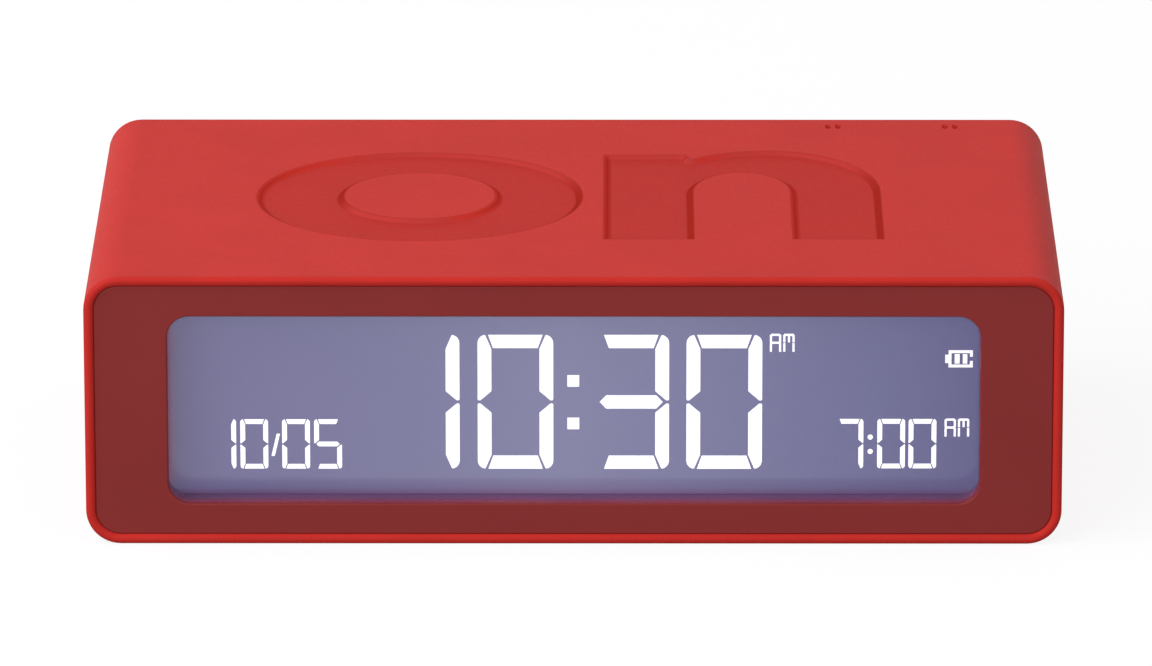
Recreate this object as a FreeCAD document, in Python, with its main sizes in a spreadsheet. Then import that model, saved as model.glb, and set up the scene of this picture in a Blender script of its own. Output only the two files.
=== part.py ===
import FreeCAD, Part
import math
import operator
import os
from types import SimpleNamespace

import Sketcher

# Flip-over alarm clock: a rounded block that rests on either broad face, and the face that is
# turned up says whether the alarm is on. Millimetres. X runs to the viewer's right, Y from the
# display to the rear and Z up, with the origin at the centre of the resting face.

V = FreeCAD.Vector

# Driving dimensions, kept in the document's spreadsheet
SIZES = {
    # Outer body and its soft skin
    "body_depth": 62.0,
    "corner_radius": 3.75,
    "skin_wall": 1.0,
    "skin_gap": 0.05,
    "mouth_rounding": 0.5,
    "lip_rounding": 0.35,
    "mouth_recess": 0.4,
    "panel_gap": 0.05,
    # Inner case
    "case_wall": 1.7,
    "case_front_wall": 2.4,
    "post_inset": 1.85,
    "post_radius": 2.2,
    "rear_post_length": 12.0,
    "tray_post_gap": 0.35,
    # Front panel and window lens
    "front_panel_thick": 1.6,
    "window_side_lap": 1.0,
    "window_edge_lap": 0.8,
    "window_corner": 2.4,
    "window_rounding": 0.2,
    "lens_gap": 0.1,
    "lens_sink": 0.15,
    "lens_flange_lap": 1.2,
    "lens_flange_thick": 1.0,
    "tunnel_margin": 0.3,
    # Display stack
    "gasket_thick": 0.5,
    "glass_thick": 1.0,
    "contact_ledge": 1.9,
    "guide_thick": 2.5,
    "guide_edge_gap": 0.2,
    "sheet_thick": 0.3,
    "lamp_width": 0.8,
    "lamp_height": 3.0,
    "lamp_depth": 2.0,
    "lamp_gap": 0.1,
    "lamp_back_gap": 0.2,
    "strip_inset": 6.6,
    "strip_width": 1.6,
    "strip_edge_gap": 0.15,
    # Display tray
    "tray_wall": 0.65,
    "tray_fit": 0.1,
    "tray_side_gap": 0.2,
    "tray_floor": 1.5,
    "standoff_height": 1.0,
    "standoff_radius": 1.7,
    "standoff_inset_x": 4.0,
    "standoff_inset_z": 2.1,
    # Main board and what it carries
    "board_side_gap": 1.2,
    "board_edge_gap": 0.75,
    "board_thick": 1.6,
    "chip_radius": 6.0,
    "chip_height": 1.6,
    "chip_slant": 1.1,
    "chip_x": -4.0,
    "crystal_radius": 1.0,
    "crystal_length": 6.0,
    "crystal_x": 8.0,
    "capacitor_length": 1.6,
    "capacitor_side": 0.8,
    "capacitor_pitch": 4.0,
    "capacitor_inset": 13.0,
    "tilt_x": -20.0,
    "tilt_side": 5.6,
    "tilt_length": 9.0,
    "tilt_wall": 0.8,
    "tilt_ball_radius": 1.95,
    "tilt_clearance": 0.05,
    # Touch electrodes under the two broad faces
    "electrode_width": 60.0,
    "electrode_depth": 18.0,
    "electrode_thick": 0.15,
    "electrode_inset": 16.0,
    "leaf_width": 4.0,
    "leaf_thick": 0.25,
    "leaf_x": 14.0,
    "leaf_foot": 5.0,
    "leaf_foot_inset": 3.0,
    "leaf_slope": 1.6,
    "leaf_pad": 3.0,
    "leaf_tip": 1.2,
    "leaf_bend": 0.8,
    "touch_gap": 0.05,
    # Ribbon between the two boards
    "ribbon_width": 10.0,
    "ribbon_thick": 0.3,
    "ribbon_inset": 6.5,
    "ribbon_shift": 3.0,
    "ribbon_lead": 5.0,
    "ribbon_swing": 9.0,
    "ribbon_bend": 5.0,
    "socket_width": 12.0,
    "socket_depth": 3.0,
    "socket_thick": 3.2,
    # Rear plate and battery bay
    "rear_plate_thick": 1.6,
    "cell_diameter": 10.5,
    "cell_length": 44.5,
    "button_end_length": 1.0,
    "button_end_radius": 1.9,
    "cell_slant": 0.4,
    "cell_gap": 0.35,
    "cell_spacing": 0.3,
    "cell_side_gap": 0.45,
    "bay_wall": 1.2,
    "bay_shelf": 0.9,
    "bay_case_gap": 0.25,
    "bay_post_gap": 2.3,
    # Battery door with hook tabs and a latch
    "door_thick": 1.4,
    "door_sink": 0.1,
    "door_lap": 0.8,
    "door_gap": 0.15,
    "tab_reach": 1.2,
    "tab_thick": 0.9,
    "tab_width": 5.0,
    "tab_neck": 0.8,
    "tab_pitch": 12.0,
    "tab_play": 0.1,
    "tab_room": 1.0,
    "latch_width": 8.0,
    "latch_leg": 0.8,
    "latch_gap": 1.2,
    "latch_drop": 3.5,
    "latch_start": 1.4,
    "latch_lip_drop": 0.2,
    "latch_clearance": 0.5,
    "latch_buzzer_gap": 0.3,
    "scoop_radius": 2.6,
    "scoop_depth": 0.7,
    "groove_width": 0.8,
    "groove_pitch": 1.8,
    "groove_length": 9.0,
    "groove_depth": 0.35,
    "groove_inset": 3.2,
    # Battery contacts
    "contact_thick": 0.4,
    "contact_bump": 0.9,
    "bump_radius": 1.5,
    "contact_side": 7.4,
    "contact_trim": 0.4,
    "coil_length": 3.8,
    "coil_wire": 0.3,
    "coil_base_radius": 3.0,
    "coil_tip_radius": 2.0,
    "coil_turns": 3.0,
    "tongue_width": 3.0,
    "tongue_overlap": 2.0,
    "slot_play": 0.2,
    # Keys, switches and the key board
    "key_inset": 7.85,
    "key_pitch_x": 13.2,
    "key_pitch_z": 10.8,
    "key_radius": 2.6,
    "key_flange_radius": 3.2,
    "key_flange_thick": 0.8,
    "key_stem_radius": 1.4,
    "key_clearance": 0.15,
    "key_play": 0.1,
    "key_recess": 0.05,
    "key_rounding": 0.35,
    "key_board_bay_gap": 3.5,
    "key_board_right_gap": 0.5,
    "key_board_edge_gap": 0.85,
    "key_post_length": 7.4,
    "key_post_radius": 2.0,
    "key_post_pitch": 16.0,
    "switch_side": 6.0,
    "switch_height": 3.5,
    "plunger_rise": 0.9,
    "plunger_radius": 1.7,
    "plunger_length": 2.4,
    "plunger_clearance": 0.05,
    "plunger_room": 0.7,
    # Sounder
    "buzzer_radius": 5.8,
    "buzzer_wall": 0.6,
    "buzzer_gap": 0.3,
    "buzzer_height": 4.2,
    "disc_thick": 0.3,
    "disc_gap": 0.05,
    "pin_radius": 0.3,
    "pin_pitch": 5.0,
    "foam_thick": 0.9,
    "foam_width": 1.4,
    "sound_hole_radius": 0.6,
    "sound_ring_radius": 2.3,
    # Screws
    "screw_head_radius": 1.7,
    "screw_head_height": 0.9,
    "screw_radius": 0.9,
    "screw_hole_gap": 0.2,
    "thread_gap": 0.02,
    "pilot_room": 1.0,
    "board_pilot_room": 0.3,
    "tray_screw_length": 5.5,
    "rear_screw_length": 8.0,
    "board_screw_head_radius": 1.4,
    "board_screw_radius": 0.7,
    "board_screw_length": 3.2,
    "key_screw_length": 6.0,
    "counterbore_gap": 0.15,
    "counterbore_depth": 1.0,
}

SOUND_HOLES = 6
GRIP_GROOVES = 4
CAPACITOR_COLUMNS = 3

# A rounding on both sides of a plate takes just under half its thickness
ROUNDING_SHARE = 0.49

# How near two coordinates count as the same
CLOSE = 1e-3

doc = FreeCAD.newDocument("flip_alarm_clock")
sheet = doc.addObject("Spreadsheet::Sheet", "dims")
for row, (alias, number) in enumerate(SIZES.items(), start=1):
    sheet.set(f"A{row}", alias)
    sheet.set(f"B{row}", str(number))
    sheet.setAlias(f"B{row}", alias)
doc.recompute()

subparts = []


class Size:
    """A number of the model, and the same number written with the sheet's cells."""

    def __init__(self, number, text):
        self.number = float(number)
        self.text = text

    def combined(self, sign, other, swapped=False):
        """This size and another, or a plain number, on the two sides of a sign."""
        other = other if isinstance(other, Size) else Size(other, f"({other:.9g})")
        left, right = (other, self) if swapped else (self, other)
        act = {"+": operator.add, "-": operator.sub, "*": operator.mul, "/": operator.truediv}[sign]
        return Size(act(left.number, right.number), f"({left.text} {sign} {right.text})")

    def __add__(self, other):
        return self.combined("+", other)

    def __radd__(self, other):
        return self.combined("+", other, swapped=True)

    def __sub__(self, other):
        return self.combined("-", other)

    def __rsub__(self, other):
        return self.combined("-", other, swapped=True)

    def __mul__(self, other):
        return self.combined("*", other)

    def __rmul__(self, other):
        return self.combined("*", other, swapped=True)

    def __truediv__(self, other):
        return self.combined("/", other)

    def __neg__(self):
        return -1 * self


dim = SimpleNamespace(**{alias: Size(sheet.get(alias), f"dims.{alias}") for alias in SIZES})

# Heights: two cells, one above the other, set the bay, and the bay sets the body

BAY_H = 2 * dim.cell_diameter + dim.cell_spacing + 2 * dim.cell_side_gap
INNER_H = BAY_H + 2 * dim.bay_shelf + 2 * dim.bay_case_gap
CASE_H = INNER_H + 2 * dim.case_wall
MOUTH_H = CASE_H + 2 * dim.skin_gap
PANEL_H = MOUTH_H - 2 * dim.panel_gap
BODY_H = MOUTH_H + 2 * dim.skin_wall
MID = BODY_H / 2

# Widths: the bay, its latch, the sounder and two keys lie side by side and set the body

BAY_L = 2 * dim.contact_thick + dim.coil_length + dim.cell_length + dim.contact_bump
BAY_SHARE = dim.post_inset + dim.post_radius + dim.bay_post_gap + dim.bay_wall + BAY_L
LATCH_L = dim.latch_start + 2 * dim.latch_leg + dim.latch_gap
LATCH_SHARE = dim.door_lap + LATCH_L + dim.latch_clearance + dim.latch_buzzer_gap
BUZZER_SHARE = 2 * dim.buzzer_radius + dim.buzzer_gap
KEY_SHARE = dim.key_flange_radius + dim.key_pitch_x + dim.key_inset
INNER_W = BAY_SHARE + LATCH_SHARE + BUZZER_SHARE + KEY_SHARE
CASE_W = INNER_W + 2 * dim.case_wall
MOUTH_W = CASE_W + 2 * dim.skin_gap
PANEL_W = MOUTH_W - 2 * dim.panel_gap
BODY_W = MOUTH_W + 2 * dim.skin_wall

# Corners and posts

MOUTH_R = dim.corner_radius - dim.skin_wall
PANEL_R = MOUTH_R - dim.panel_gap
CASE_R = MOUTH_R - dim.skin_gap
INNER_R = CASE_R - dim.case_wall
POST_X = INNER_W / 2 - dim.post_inset
POST_Z = INNER_H / 2 - dim.post_inset
SCREW_PILOT = dim.screw_radius + dim.thread_gap
BOARD_PILOT = dim.board_screw_radius + dim.thread_gap

# Depths, from the display to the rear

BACK = dim.body_depth / 2
FRONT = -BACK
PANEL_FACE = FRONT + dim.mouth_recess
PANEL_SEAT = PANEL_FACE + dim.front_panel_thick
WALL_BACK = PANEL_SEAT + dim.case_front_wall
GLASS_FACE = WALL_BACK + dim.gasket_thick
REAR_GLASS_FACE = GLASS_FACE + dim.glass_thick
GUIDE_FACE = REAR_GLASS_FACE + dim.glass_thick
SHEET_FACE = GUIDE_FACE + dim.guide_thick
TRAY_FLOOR = SHEET_FACE + dim.sheet_thick
TRAY_BACK = TRAY_FLOOR + dim.tray_floor
BOARD_FACE = TRAY_BACK + dim.standoff_height
BOARD_BACK = BOARD_FACE + dim.board_thick
REAR_FACE = BACK - dim.mouth_recess
REAR_SEAT = REAR_FACE - dim.rear_plate_thick
HEAD_SEAT = REAR_FACE - dim.counterbore_depth

# Display: tray, glasses, light guide and window, each inside the one before

TRAY_W = 2 * (POST_X - dim.post_radius - dim.tray_post_gap)
TRAY_H = INNER_H - 2 * dim.tray_side_gap
SEAT_W = TRAY_W - 2 * dim.tray_wall
SEAT_H = TRAY_H - 2 * dim.tray_wall
GLASS_W = SEAT_W - 2 * dim.tray_fit
GLASS_H = SEAT_H - 2 * dim.tray_fit
GLASS_LOW = MID - GLASS_H / 2
GLASS_TOP = MID + GLASS_H / 2
WINDOW_W = GLASS_W - 2 * dim.window_side_lap
WINDOW_H = GLASS_H - 2 * dim.window_edge_lap
TUNNEL_W = WINDOW_W + 2 * dim.tunnel_margin
TUNNEL_H = WINDOW_H + 2 * dim.tunnel_margin
FLANGE_W = WINDOW_W + 2 * dim.lens_flange_lap
FLANGE_H = WINDOW_H + 2 * dim.lens_flange_lap
FLANGE_R = dim.window_corner + dim.lens_flange_lap
GUIDE_W = SEAT_W - 2 * (dim.lamp_gap + dim.lamp_width + dim.lamp_back_gap)
LEDGE_TOP = GLASS_LOW + dim.contact_ledge
GUIDE_LOW = LEDGE_TOP + dim.guide_edge_gap
GUIDE_TOP = GLASS_TOP - dim.guide_edge_gap
STRIP_L = GLASS_W - 2 * dim.strip_inset
STRIP_LOW = GLASS_LOW + dim.strip_edge_gap
STRIP_TOP = STRIP_LOW + dim.strip_width

# Main board

BOARD_W = 2 * (POST_X - dim.screw_head_radius - dim.board_side_gap)
BOARD_H = INNER_H - 2 * dim.board_edge_gap
STANDOFF_X = BOARD_W / 2 - dim.standoff_inset_x
STANDOFF_Z = BOARD_H / 2 - dim.standoff_inset_z

# Battery bay and door

DOOR_SEAT = REAR_FACE - dim.door_sink - dim.door_thick
DOOR_FACE = DOOR_SEAT + dim.door_thick
CELL_Y = DOOR_SEAT - dim.cell_gap - dim.cell_diameter / 2
CELL_Z = (dim.cell_diameter + dim.cell_spacing) / 2
BAY_FLOOR = CELL_Y - dim.cell_diameter / 2 - dim.cell_gap
BAY_BACK = BAY_FLOOR - dim.bay_wall
BAY_RIGHT = BAY_SHARE - INNER_W / 2
BAY_LEFT = BAY_RIGHT - BAY_L
BAY_MID = BAY_RIGHT - BAY_L / 2
DOOR_LEFT = BAY_LEFT - dim.door_lap
DOOR_RIGHT = BAY_RIGHT + dim.door_lap
DOOR_W = BAY_L + 2 * dim.door_lap
DOOR_H = BAY_H + 2 * dim.door_lap
LATCH_LEFT = DOOR_RIGHT + dim.latch_start
LATCH_RIGHT = DOOR_RIGHT + LATCH_L

# Keys, key board, sounder and ribbon

KEY_FAR_X = INNER_W / 2 - dim.key_inset
KEY_NEAR_X = KEY_FAR_X - dim.key_pitch_x
KEY_POST_X = KEY_FAR_X - dim.key_pitch_x / 2
KEY_BOARD_LEFT = BAY_RIGHT + dim.bay_wall + dim.key_board_bay_gap
KEY_BOARD_BACK = REAR_SEAT - dim.key_post_length
KEY_BOARD_FACE = KEY_BOARD_BACK - dim.board_thick
SWITCH_TOP = KEY_BOARD_BACK + dim.switch_height
PLUNGER_TOP = SWITCH_TOP + dim.plunger_rise
FLANGE_TOP = REAR_SEAT - dim.key_play
BUZZER_X = KEY_NEAR_X - dim.key_flange_radius - dim.buzzer_gap - dim.buzzer_radius
BUZZER_BACK = REAR_SEAT - dim.foam_thick
BUZZER_FACE = BUZZER_BACK - dim.buzzer_height
RIBBON_REAR_X = KEY_BOARD_LEFT + dim.ribbon_inset
RIBBON_FRONT_X = RIBBON_REAR_X + dim.ribbon_shift

KEYS = {
    "mode": (KEY_FAR_X, MID + dim.key_pitch_z / 2),
    "set": (KEY_NEAR_X, MID + dim.key_pitch_z / 2),
    "minus": (KEY_FAR_X, MID - dim.key_pitch_z / 2),
    "plus": (KEY_NEAR_X, MID - dim.key_pitch_z / 2),
}


def keep(thing, label):
    """Labels a finished sub-part and lists it for the export."""
    thing.Label = label
    subparts.append(thing)
    return thing


def corners(dx, dz, x=0, z=MID):
    """The four places at plus and minus dx and dz about a centre."""
    return [(x + side * dx, z + level * dz) for side in (1, -1) for level in (1, -1)]


# Sketch outlines, with each size tied to the sheet


def tie(sketch, kind, *where, to):
    """Adds a dimension to a sketch; a size drives it, and a plain number only sets it."""
    number = to.number if isinstance(to, Size) else to
    index = sketch.addConstraint(Sketcher.Constraint(kind, *where, number))
    if isinstance(to, Size):
        sketch.setExpression(f"Constraints[{index}]", to.text)


def point(x, z):
    """A sketch point at two sizes or numbers."""
    return V(*[place.number if isinstance(place, Size) else place for place in (x, z)], 0)


def circle(radius, x=0, z=MID):
    """An outline: a circle about (x, z)."""

    def draw(sketch):
        index = sketch.addGeometry(Part.Circle(point(x, z), V(0, 0, 1), radius.number))
        tie(sketch, "Radius", index, to=radius)
        tie(sketch, "DistanceX", index, 3, to=x)
        tie(sketch, "DistanceY", index, 3, to=z)

    return draw


def polygon(*points):
    """An outline: straight edges through the points given."""

    def draw(sketch):
        first = sketch.GeometryCount
        count = len(points)
        at = [point(x, z) for x, z in points]
        sketch.addGeometry([Part.LineSegment(at[i], at[(i + 1) % count]) for i in range(count)])
        for i, (x, z) in enumerate(points):
            ends = (first + i, 2, first + (i + 1) % count, 1)
            sketch.addConstraint(Sketcher.Constraint("Coincident", *ends))
            tie(sketch, "DistanceX", first + i, 1, to=x)
            tie(sketch, "DistanceY", first + i, 1, to=z)

    return draw


def box(left, right, low, high):
    """An outline: a rectangle between two places on each axis."""
    return polygon((left, low), (right, low), (right, high), (left, high))


def rounded(width, height, radius, x=0, z=MID):
    """An outline: a rectangle with round corners about (x, z)."""

    def draw(sketch):
        first = sketch.GeometryCount
        reach_x = width / 2 - radius
        reach_z = height / 2 - radius
        signs = [(1, 1), (-1, 1), (-1, -1), (1, -1)]
        centres = [(x + side * reach_x, z + level * reach_z) for side, level in signs]
        at = [point(*centre) for centre in centres]
        quarter = math.pi / 2
        spokes = [V(math.cos(k * quarter), math.sin(k * quarter), 0) * radius.number for k in range(5)]
        for k in range(4):
            corner = Part.Circle(at[k], V(0, 0, 1), radius.number)
            sketch.addGeometry(Part.ArcOfCircle(corner, k * quarter, (k + 1) * quarter))
        for k in range(4):
            side = Part.LineSegment(at[k] + spokes[k + 1], at[(k + 1) % 4] + spokes[k + 1])
            sketch.addGeometry(side)
        for k in range(4):
            arc, side, after = first + k, first + 4 + k, first + (k + 1) % 4
            sketch.addConstraint(Sketcher.Constraint("Tangent", arc, 2, side, 1))
            sketch.addConstraint(Sketcher.Constraint("Tangent", side, 2, after, 1))
            sketch.addConstraint(Sketcher.Constraint("Vertical" if k % 2 else "Horizontal", side))
        for k in range(1, 4):
            sketch.addConstraint(Sketcher.Constraint("Equal", first, first + k))
        tie(sketch, "Radius", first, to=radius)
        for k in (0, 2):
            tie(sketch, "DistanceX", first + k, 3, to=centres[k][0])
            tie(sketch, "DistanceY", first + k, 3, to=centres[k][1])

    return draw


# Steps of a body: outlines lie in a plane across X, Y or Z and are drawn out towards plus

PLANES = {"X": ("YZ_Plane", 1), "Y": ("XZ_Plane", -1), "Z": ("XY_Plane", 1)}


def new_body(label):
    """An empty body that becomes one sub-part."""
    return keep(doc.addObject("PartDesign::Body", label), label)


def extrude(body, outlines, start, end, along, cut):
    """Adds or cuts the outlines between two planes across an axis."""
    role, sense = PLANES[along]
    sketch = body.newObject("Sketcher::SketchObject", "outline")
    plane = next(feature for feature in body.Origin.OriginFeatures if feature.Role == role)
    sketch.AttachmentSupport = [(plane, "")]
    sketch.MapMode = "FlatFace"
    sketch.setExpression("AttachmentOffset.Base.z", (sense * start).text)
    for draw in outlines:
        draw(sketch)
    doc.recompute()
    before = body.Shape.Volume if body.Tip else 0.0
    feature = body.newObject("PartDesign::Pocket" if cut else "PartDesign::Pad", "step")
    feature.Profile = sketch
    feature.setExpression("Length", (end - start).text)
    feature.Reversed = (sense > 0) == cut
    doc.recompute()
    change = body.Shape.Volume - before
    if change * (-1 if cut else 1) <= 0:
        raise RuntimeError(f"{body.Label}: the step from {start.number} to {end.number} changes nothing")


def add(body, outlines, start, end, along="Y"):
    """Material between two planes."""
    extrude(body, outlines, start, end, along, cut=False)


def remove(body, outlines, start, end, along="Y"):
    """A recess or hole between two planes."""
    extrude(body, outlines, start, end, along, cut=True)


def trim(body, kind, side, size, choose):
    """Cuts back the edges that choose() accepts, by a rounding or a slant of that size."""
    base = body.Tip
    names = [f"Edge{i}" for i, edge in enumerate(base.Shape.Edges, start=1) if choose(edge)]
    feature = body.newObject(kind, "trim")
    feature.Base = (base, names)
    feature.setExpression(side, size.text)
    body.Tip = feature
    doc.recompute()


def soften(body, radius, choose):
    """Rounds the edges that choose() accepts."""
    trim(body, "PartDesign::Fillet", "Radius", radius, choose)


def slant(body, size, choose):
    """Chamfers the edges that choose() accepts."""
    trim(body, "PartDesign::Chamfer", "Size", size, choose)


def lies_at(edge, y):
    """Says whether an edge lies in the plane across Y at a size."""
    extent = edge.BoundBox
    return max(abs(extent.YMin - y.number), abs(extent.YMax - y.number)) < CLOSE


# Plain solids


def block(name, low, high):
    """A box between two corners."""
    thing = doc.addObject("Part::Box", name)
    for side, a, b in zip(("Length", "Width", "Height"), low, high):
        thing.setExpression(side, (b - a).text)
    for axis, a in zip("xyz", low):
        thing.setExpression(f"Placement.Base.{axis}", a.text)
    return thing


def rod(name, radius, start, length, along="Y"):
    """A cylinder from a starting point towards plus on Y or Z."""
    thing = doc.addObject("Part::Cylinder", name)
    thing.setExpression("Radius", radius.text)
    thing.setExpression("Height", length.text)
    turn = FreeCAD.Rotation(V(1, 0, 0), -90 if along == "Y" else 0)
    thing.Placement = FreeCAD.Placement(V(), turn)
    for axis, a in zip("xyz", start):
        thing.setExpression(f"Placement.Base.{axis}", a.text)
    return thing


def without(base, tool, name):
    """One solid with another cut away."""
    thing = doc.addObject("Part::Cut", name)
    thing.Base = base
    thing.Tool = tool
    return thing


def joined(things, name):
    """Several solids as one."""
    thing = doc.addObject("Part::MultiFuse", name)
    thing.Shapes = things
    return thing


def group(things, label):
    """Like pieces that share a node and stay separate solids."""
    thing = doc.addObject("Part::Compound", label)
    thing.Links = things
    return keep(thing, label)


def screws(label, places, seat, sense, head_radius, radius, length):
    """Pan-head screws, whose shanks run from the seat by sense on Y."""
    made = []
    for number, (x, z) in enumerate(places):
        name = f"{label}_{number}"
        head_start = seat - dim.screw_head_height if sense > 0 else seat
        shank_start = seat if sense > 0 else seat - length
        head = rod(f"{name}_head", head_radius, (x, head_start, z), dim.screw_head_height)
        shank = rod(f"{name}_shank", radius, (x, shank_start, z), length)
        made.append(joined([head, shank], name))
    return group(made, label)


# Swept pieces


def shaped(label, shape, at):
    """A sub-part built directly as a shape about its own origin, then put in its place."""
    thing = doc.addObject("Part::Feature", label)
    thing.Shape = shape
    thing.Placement = FreeCAD.Placement(at, FreeCAD.Rotation())
    return keep(thing, label)


def swept(path, section):
    """A closed section drawn along a path of lines and arcs."""
    pipe = Part.BRepOffsetAPI.MakePipeShell(path)
    pipe.add(section)
    pipe.build()
    pipe.makeSolid()
    return pipe.shape()


def strip_section(start, across, upright):
    """The rectangle that a flat strip has at the start of its path."""
    signs = [(-1, -1), (1, -1), (1, 1), (-1, 1), (-1, -1)]
    return Part.makePolygon([start + across * a / 2 + upright * b / 2 for a, b in signs])


def bent_path(points, radius):
    """Straight runs through the points, joined by tangent arcs."""
    edges = []
    last = points[0]
    for before, corner, after in zip(points, points[1:], points[2:]):
        inward = (corner - before).normalize()
        outward = (after - corner).normalize()
        half_turn = inward.getAngle(outward) / 2
        back = radius * math.tan(half_turn)
        start = corner - inward * back
        end = corner + outward * back
        middle = corner + (outward - inward).normalize() * (radius / math.cos(half_turn) - radius)
        edges.append(Part.LineSegment(last, start).toShape())
        edges.append(Part.Arc(start, middle, end).toShape())
        last = end
    edges.append(Part.LineSegment(last, points[-1]).toShape())
    return Part.Wire(edges)


def coil_path(reach, base_radius, tip_radius, turns):
    """A conical coil about X from the origin, two tangent arcs for each half turn."""

    def at(share):
        angle = 2 * math.pi * turns * share
        radius = base_radius + (tip_radius - base_radius) * share
        return V(reach * share, radius * math.cos(angle), radius * math.sin(angle))

    def heading(share):
        return (at(share + CLOSE) - at(share - CLOSE)).normalize()

    edges = []
    halves = round(2 * turns)
    for k in range(halves):
        start = at(k / halves)
        end = at((k + 1) / halves)
        leaving = heading(k / halves)
        arriving = heading((k + 1) / halves)
        chord = end - start
        both = leaving + arriving
        spare = 4 - both.dot(both)
        arm = (math.sqrt(chord.dot(both) ** 2 + chord.dot(chord) * spare) - chord.dot(both)) / spare
        first_knee = start + leaving * arm
        second_knee = end - arriving * arm
        joint = (first_knee + second_knee) / 2
        for a, knee, b in ((start, first_knee, joint), (joint, second_knee, end)):
            weight = (b - a).Length / (2 * arm)
            middle = (a + knee * (2 * weight) + b) / (2 + 2 * weight)
            edges.append(Part.Arc(a, middle, b).toShape())
    return Part.Wire(edges)


# Skin, case, front panel and lens


def make_skin():
    """The soft outer skin: a rounded tube, open at the display and at the rear."""
    body = new_body("outer_skin")
    outer = rounded(BODY_W, BODY_H, dim.corner_radius)
    inner = rounded(MOUTH_W, MOUTH_H, MOUTH_R)
    add(body, [outer, inner], FRONT, BACK)

    def within_mouth(edge):
        extent = edge.BoundBox
        reach_x = max(abs(extent.XMin), abs(extent.XMax))
        reach_z = max(abs(extent.ZMin - MID.number), abs(extent.ZMax - MID.number))
        return reach_x < (MOUTH_W / 2).number + CLOSE and reach_z < (MOUTH_H / 2).number + CLOSE

    for y in (FRONT, BACK):
        soften(body, dim.mouth_rounding, lambda edge: lies_at(edge, y) and not within_mouth(edge))
        soften(body, dim.lip_rounding, lambda edge: lies_at(edge, y) and within_mouth(edge))


def make_inner_case():
    """The rigid case inside the skin, with its window wall, tray posts and rear posts."""
    body = new_body("inner_case")
    add(body, [rounded(CASE_W, CASE_H, CASE_R)], PANEL_SEAT, REAR_SEAT)
    remove(body, [rounded(INNER_W, INNER_H, INNER_R)], WALL_BACK, REAR_SEAT)
    rebate = rounded(FLANGE_W + 2 * dim.lens_gap, FLANGE_H + 2 * dim.lens_gap, FLANGE_R)
    remove(body, [rebate], PANEL_SEAT, PANEL_SEAT + dim.lens_flange_thick + dim.lens_gap)
    tunnel = rounded(TUNNEL_W, TUNNEL_H, dim.window_corner + dim.tunnel_margin)
    remove(body, [tunnel], PANEL_SEAT, WALL_BACK)

    places = corners(POST_X, POST_Z)
    posts = [circle(dim.post_radius, x, z) for x, z in places]
    pilots = [circle(SCREW_PILOT, x, z) for x, z in places]
    add(body, posts, WALL_BACK, TRAY_FLOOR)
    remove(body, pilots, TRAY_BACK - dim.tray_screw_length - dim.pilot_room, TRAY_FLOOR)
    add(body, posts, REAR_SEAT - dim.rear_post_length, REAR_SEAT)
    remove(body, pilots, HEAD_SEAT - dim.rear_screw_length - dim.pilot_room, REAR_SEAT)


def make_front_panel():
    """The dark plate in the skin's front mouth, with the display window cut through it."""
    body = new_body("front_panel")
    window = rounded(WINDOW_W, WINDOW_H, dim.window_corner)
    add(body, [rounded(PANEL_W, PANEL_H, PANEL_R), window], PANEL_FACE, PANEL_SEAT)
    soften(body, dim.window_rounding, lambda edge: lies_at(edge, PANEL_FACE))


def make_window_lens():
    """The clear lens: a boss that fills the window and a flange behind the panel."""
    body = new_body("window_lens")
    gap = dim.lens_gap
    boss = rounded(WINDOW_W - 2 * gap, WINDOW_H - 2 * gap, dim.window_corner - gap)
    add(body, [boss], PANEL_FACE + dim.lens_sink, PANEL_SEAT)
    add(body, [rounded(FLANGE_W, FLANGE_H, FLANGE_R)], PANEL_SEAT, PANEL_SEAT + dim.lens_flange_thick)


# Display stack and its tray


def make_display_stack():
    """Foam gasket, two glasses, light guide, reflector, lamps and the contact strip."""
    gasket = new_body("display_gasket")
    outer = rounded(GLASS_W, GLASS_H, dim.tunnel_margin)
    add(gasket, [outer, rounded(TUNNEL_W, TUNNEL_H, dim.tunnel_margin)], WALL_BACK, GLASS_FACE)

    half = GLASS_W / 2
    front_glass = block("front_glass", (-half, GLASS_FACE, GLASS_LOW), (half, REAR_GLASS_FACE, GLASS_TOP))
    keep(front_glass, "display_front_glass")
    rear_glass = block("rear_glass", (-half, REAR_GLASS_FACE, LEDGE_TOP), (half, GUIDE_FACE, GLASS_TOP))
    keep(rear_glass, "display_rear_glass")

    side = GUIDE_W / 2
    guide = block("guide", (-side, GUIDE_FACE, GUIDE_LOW), (side, SHEET_FACE, GUIDE_TOP))
    keep(guide, "light_guide")
    reflector = block("reflector", (-side, SHEET_FACE, GUIDE_LOW), (side, TRAY_FLOOR, GUIDE_TOP))
    keep(reflector, "reflector_sheet")

    near = side + dim.lamp_gap
    far = near + dim.lamp_width
    low = MID - dim.lamp_height / 2
    high = MID + dim.lamp_height / 2
    lamp_back = GUIDE_FACE + dim.lamp_depth
    right_lamp = block("right_lamp", (near, GUIDE_FACE, low), (far, lamp_back, high))
    left_lamp = block("left_lamp", (-far, GUIDE_FACE, low), (-near, lamp_back, high))
    group([right_lamp, left_lamp], "backlight_lamps")

    reach = STRIP_L / 2
    strip = block("strip", (-reach, REAR_GLASS_FACE, STRIP_LOW), (reach, BOARD_FACE, STRIP_TOP))
    keep(strip, "contact_strip")


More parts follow.
